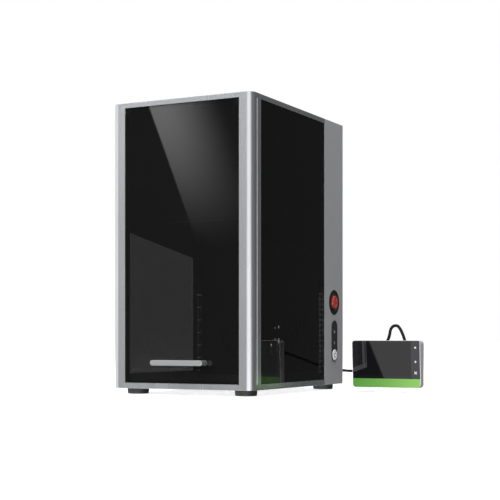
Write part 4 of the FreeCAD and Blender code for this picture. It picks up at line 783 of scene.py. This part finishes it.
def make_controller_face():
    """Display window, and key strip with its three signs."""
    place, wide, tall = face_place()
    lift = Matrix.Translation((0, 0, -0.02 * MM))
    mesh = bmesh.new()
    key_wide, border = 17 * MM, 9.5 * MM
    display_wide = wide - key_wide - border - 1.5 * MM
    display_x = -wide / 2 + border + display_wide / 2
    at = place @ lift @ Matrix.Translation((display_x, 1.5 * MM, 0))
    prism(mesh, at, rounded_outline(display_wide, tall - 9 * MM, 1.2 * MM), 0.12 * MM)
    piece_from("controller_display", mesh, "display", "root")

    mesh = bmesh.new()
    keys_x = wide / 2 - key_wide / 2
    at = place @ lift @ Matrix.Translation((keys_x - 0.6 * MM, 0, 0))
    prism(mesh, at, rounded_outline(key_wide - 1.2 * MM, tall - 1.4 * MM, 4.5 * MM), 0.14 * MM)
    piece_from("controller_keys", mesh, "keys", "root")

    mesh = bmesh.new()
    sign = place @ Matrix.Translation((keys_x, 0, 0.1 * MM))
    thick = 0.12 * MM
    prism(mesh, sign @ Matrix.Translation((0, 22.5 * MM, 0)), ring_outline(1.9 * MM, 24), thick)
    diamond = ring_outline(2.3 * MM, 4, 0)
    prism(mesh, sign @ Matrix.Translation((0, -3.5 * MM, 0)), diamond, thick)
    for angle in (math.pi / 4, -math.pi / 4):
        cross = sign @ Matrix.Translation((0, -24 * MM, 0)) @ Matrix.Rotation(angle, 4, "Z")
        prism(mesh, cross, rounded_outline(6.4 * MM, 1.7 * MM, 0.5 * MM, 3), thick)
    piece_from("controller_signs", mesh, "ink_white", "root")


# ---------------------------------------------------------------- head, seen when the door is open

LENS_RADIUS = 24 * MM
LENS_BULGE = 1.2 * MM
LENS_STEPS = 6


def make_lenses():
    """The scan lens's domed glass, and the camera's ring and glass."""
    low, _, centre = node_box("lens_barrel")
    mesh = bmesh.new()
    parts = [step / LENS_STEPS for step in range(1, LENS_STEPS + 1)]
    crown = [(0, -LENS_BULGE)]
    crown += [(LENS_RADIUS * part, -LENS_BULGE * (1 - part ** 2)) for part in parts]
    lathe(mesh, (centre.x, centre.y, low.z + 3 * MM), "z", crown, 48)
    piece_from("scan_lens_glass", mesh, "lens", "head")
    low, _, centre = node_box("camera_module")
    mesh = bmesh.new()
    lathe(mesh, (centre.x, centre.y, low.z), "-z",
          [(5.2 * MM, -1 * MM), (5.2 * MM, 0.2 * MM), (4.4 * MM, 0.5 * MM), (3.6 * MM, 0.1 * MM)], 32)
    piece_from("camera_ring", mesh, "black_plastic", "head")
    mesh = bmesh.new()
    lathe(mesh, (centre.x, centre.y, low.z), "-z",
          [(3.6 * MM, -0.4 * MM), (2.4 * MM, 0.1 * MM), (0, 0.35 * MM)], 32)
    piece_from("camera_glass", mesh, "lens", "head")


# ---------------------------------------------------------------- back

def make_rotor():
    """Seven swept, twisted blades on a domed hub."""
    low, high, centre = node_box("exhaust_rotor")
    radius = min(high.x - low.x, high.z - low.z) / 2
    hub, depth = 15 * MM, high.y - low.y
    base = Vector((centre.x, low.y, centre.z))
    mesh = bmesh.new()
    profile = [(0, 0), (hub - 1 * MM, 0), (hub, 1 * MM)]
    profile += arc((hub - 2 * MM, depth - 2 * MM), 2 * MM, 0, 80, 5)
    profile += [(0, depth)]
    lathe(mesh, base, "y", profile, 48)
    place = facing("y", base)
    blades, spans, chords = 7, 8, 8
    for blade in range(blades):
        grid = []
        for i in range(spans + 1):
            share = i / spans
            r = hub - 0.5 * MM + (radius - 0.5 * MM - hub) * share
            half_angle = math.radians(24 - 6 * share)
            row = []
            for j in range(chords + 1):
                across = j / chords * 2 - 1
                angle = math.tau * blade / blades + across * half_angle + share * math.radians(18)
                height = depth / 2 + across * depth * (0.42 - 0.12 * share)
                height += (1 - across ** 2) * 1.6 * MM
                row.append(Vector((r * math.cos(angle), r * math.sin(angle), height)))
            grid.append(row)
        for offset, flip in ((0.6 * MM, False), (-0.6 * MM, True)):
            verts = [[mesh.verts.new(place @ (p + Vector((0, 0, offset)))) for p in row] for row in grid]
            for a, b in zip(verts, verts[1:]):
                for j in range(chords):
                    mesh.faces.new((a[j], a[j + 1], b[j + 1], b[j]))
            if not flip:
                front = verts
            else:
                rim_front = front[0] + [r[-1] for r in front[1:]] + front[-1][-2::-1] \
                    + [r[0] for r in front[-2:0:-1]]
                rim_back = verts[0] + [r[-1] for r in verts[1:]] + verts[-1][-2::-1] \
                    + [r[0] for r in verts[-2:0:-1]]
                count = len(rim_front)
                for step in range(count):
                    after = (step + 1) % count
                    mesh.faces.new((rim_front[step], rim_front[after], rim_back[after], rim_back[step]))
    piece = piece_from("rotor_moulded", mesh, "fan_plastic", "rotor")
    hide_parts("exhaust_rotor")


def make_inlet_pins():
    _, high, centre = node_box("mains_inlet")
    mesh = bmesh.new()
    socket = Vector((centre.x - 9 * MM, high.y, centre.z))
    for x, z in ((-7, -3), (7, -3), (0, 4)):
        at = socket + Vector((x * MM, 0, z * MM))
        slab(mesh, at + Vector((-1 * MM, -16 * MM, -2 * MM)), at + Vector((1 * MM, -3 * MM, 2 * MM)),
             0.4 * MM)
    piece_from("inlet_pins", mesh, "steel", "root")


SCREW_HEAD_RADIUS = 2.8 * MM
SCREW_ROWS = 4


def make_screw_socket_shade():
    """Hexagon sockets in the service panel's screws, drawn as flat dark hexagons: painted shade standing
    in for the recesses.
    """
    low, high, _ = node_box("panel_screws")
    mesh = bmesh.new()
    columns = (low.x + SCREW_HEAD_RADIUS, high.x - SCREW_HEAD_RADIUS)
    span = high.z - low.z - 2 * SCREW_HEAD_RADIUS
    rows = [low.z + SCREW_HEAD_RADIUS + span * step / (SCREW_ROWS - 1) for step in range(SCREW_ROWS)]
    for x in columns:
        for z in rows:
            place = facing("y", (x, high.y - 0.05 * MM, z))
            # Each dark hexagon is painted shade where the socket's recess would be.
            prism(mesh, place, ring_outline(1.35 * MM, 6), 0.08 * MM)
    piece_from("screw_socket_shade", mesh, "ink_dark", "root")


# ---------------------------------------------------------------- gaskets and seams

def make_gaskets():
    """Thin black seals where the glass meets the frame."""
    mesh = bmesh.new()
    for name, side in (("side_window_left", -1), ("side_window_right", 1)):
        low, high, _ = node_box(name)
        face = high.x if side > 0 else low.x
        near, far = face - side * 1.2 * MM, face + side * 0.15 * MM
        a, b = min(near, far), max(near, far)
        line = 0.9 * MM
        slab(mesh, (a, low.y, low.z), (b, high.y, low.z + line))
        slab(mesh, (a, low.y, high.z - line), (b, high.y, high.z))
        slab(mesh, (a, low.y, low.z + line), (b, low.y + line, high.z - line))
        slab(mesh, (a, high.y - line, low.z + line), (b, high.y, high.z - line))
    piece_from("window_seals", mesh, "gasket", "root")


# ---------------------------------------------------------------- studio

def make_floor():
    bpy.ops.mesh.primitive_plane_add(size=40, location=(0, 0, -0.0002))
    floor = bpy.context.object
    floor.name = "floor"
    shader = Shader("floor_white", (0.93, 0.93, 0.93), 0.9, Emission_Color=(1, 1, 1, 1),
                    Emission_Strength=0.6)
    shader.mottle(0.5, 0.02)
    floor.data.materials.append(shader.material)
    floor.visible_glossy = False
    floor.visible_diffuse = False


def area_light(name, place, aim, size, power):
    data = bpy.data.lights.new(name, "AREA")
    data.shape = "RECTANGLE"
    data.size, data.size_y = size
    data.energy = power
    light = bpy.data.objects.new(name, data)
    light.location = place
    light.rotation_euler = (Vector(aim) - Vector(place)).to_track_quat("-Z", "Y").to_euler()
    light.visible_camera = False
    light.visible_glossy = False
    scene.collection.objects.link(light)


# Brightness of the studio's walls as polished surfaces see them, by compass angle in degrees
# from the front (-Y) towards the right (+X).
STUDIO_WALLS = ((-180, 0.35), (-110, 0.7), (-70, 1.3), (-46, 1.1), (-38, 0.12), (-16, 0.10),
                (-8, 1.45), (44, 1.45), (60, 0.10), (100, 0.10), (140, 0.07), (168, 0.07),
                (180, 0.35))


# The slanting card in front of the door: its edge's lean and place, its width and brightness.
CARD_SLOPE = 0.4009
CARD_EDGE = 0.5323
CARD_WIDE = 0.08
CARD_BRIGHT = 3.1
# The bench card that the leaning controller reflects: its edge's lean and places.
BENCH_SLOPE = 0.3816
BENCH_EDGE = 0.4001
BENCH_RISE = 0.118
BENCH_BRIGHT = 1.1
BENCH_BELOW = -0.085
# Brightness of the room that matt surfaces see: towards the right, and towards the front left.
DIFFUSE_DARK = 0.13
DIFFUSE_LIGHT = 1.1


def make_world():
    """A white room for the camera, and a darker studio with softboxes for reflections."""
    world = bpy.data.worlds.new("studio")
    scene.world = world
    world.use_nodes = True
    tree = world.node_tree
    background = tree.nodes["Background"]
    link = tree.links.new

    def maths(operation, a, b=0.0, clamp=False):
        node = tree.nodes.new("ShaderNodeMath")
        node.operation = operation
        node.use_clamp = clamp
        for socket, value in zip(node.inputs, (a, b)):
            if isinstance(value, (int, float)):
                socket.default_value = value
            else:
                link(value, socket)
        return node.outputs[0]

    def mix(factor, a, b):
        return maths("ADD", maths("MULTIPLY", a, maths("SUBTRACT", 1.0, factor)),
                     maths("MULTIPLY", b, factor))

    def ramp(value, low, high):
        """0 below low, 1 above high, smooth between."""
        node = tree.nodes.new("ShaderNodeMapRange")
        node.interpolation_type = "SMOOTHSTEP"
        node.inputs["From Min"].default_value = low
        node.inputs["From Max"].default_value = high
        link(value, node.inputs["Value"])
        return node.outputs["Result"]

    split = tree.nodes.new("ShaderNodeSeparateXYZ")
    link(tree.nodes.new("ShaderNodeTexCoord").outputs["Generated"], split.inputs[0])
    dx, dy, dz = split.outputs
    forward = maths("MULTIPLY", dy, -1.0)
    compass = maths("ARCTAN2", dx, forward)
    turn = maths("ADD", maths("DIVIDE", compass, math.tau), 0.5)
    walls = tree.nodes.new("ShaderNodeValToRGB")
    walls.color_ramp.interpolation = "LINEAR"
    elements = walls.color_ramp.elements
    while len(elements) > 1:
        elements.remove(elements[-1])
    brightest = max(level for _, level in STUDIO_WALLS)
    for index, (angle, level) in enumerate(STUDIO_WALLS):
        at = angle / 360 + 0.5
        stop = elements[0] if index == 0 else elements.new(at)
        stop.position = at
        stop.color = (*[level / brightest] * 3, 1)
    link(turn, walls.inputs["Fac"])
    around = maths("MULTIPLY", walls.outputs["Color"], brightest)
    overhead = ramp(dz, 0.5, 0.75)
    studio = mix(overhead, around, 1.1)
    # A leaning card in front and to the left, whose edge draws the slanting reflection in the door.
    ahead = maths("MAXIMUM", forward, 0.05)
    side = maths("DIVIDE", dx, ahead)
    rise = maths("DIVIDE", dz, ahead)
    past_edge = maths("ADD", maths("ADD", side, maths("MULTIPLY", rise, CARD_SLOPE)), CARD_EDGE)
    card = maths("MULTIPLY", ramp(past_edge, 0, 0.0015),
                 maths("SUBTRACT", 1.0, ramp(past_edge, 0.01, CARD_WIDE)))
    card = maths("MULTIPLY", card, ramp(rise, 0.08, 0.24))
    card = maths("MULTIPLY", card, maths("GREATER_THAN", forward, 0.3))
    studio = maths("ADD", studio, maths("MULTIPLY", card, CARD_BRIGHT))
    drop = maths("MULTIPLY", maths("ADD", rise, BENCH_RISE), BENCH_SLOPE)
    bench = ramp(maths("ADD", maths("ADD", side, drop), BENCH_EDGE), 0, 0.002)
    below = maths("MULTIPLY", maths("LESS_THAN", rise, BENCH_BELOW),
                  maths("GREATER_THAN", forward, 0.3))
    studio = maths("ADD", studio, maths("MULTIPLY", maths("MULTIPLY", bench, below), BENCH_BRIGHT))
    path = tree.nodes.new("ShaderNodeLightPath")
    lit = maths("ADD", maths("MULTIPLY", forward, 0.85), maths("MULTIPLY", dx, -0.5))
    room = mix(ramp(lit, -0.45, 0.85), DIFFUSE_DARK, DIFFUSE_LIGHT)
    seen = mix(path.outputs["Is Glossy Ray"], room, studio)
    seen = mix(path.outputs["Is Camera Ray"], seen, 1.0)
    link(seen, background.inputs["Color"])
    background.inputs["Strength"].default_value = 1


def make_lights():
    area_light("key", (-1.9, -2.3, 1.6), BODY_MIDDLE, (1.6, 2.2), 55)
    area_light("top", (-0.1, -0.2, 2.4), (-0.1, 0, 0), (3.0, 3.0), 60)


make_camera()
make_cable()
dress_cad_nodes()
make_feet()
make_stop_knob()
make_stop_collar()
make_strip_signs()
make_power_symbol()
make_scales()
make_controller_face()
make_lenses()
make_rotor()
make_inlet_pins()
make_screw_socket_shade()
make_gaskets()
make_floor()
make_world()
make_lights()
scene.view_settings.view_transform = "Standard"
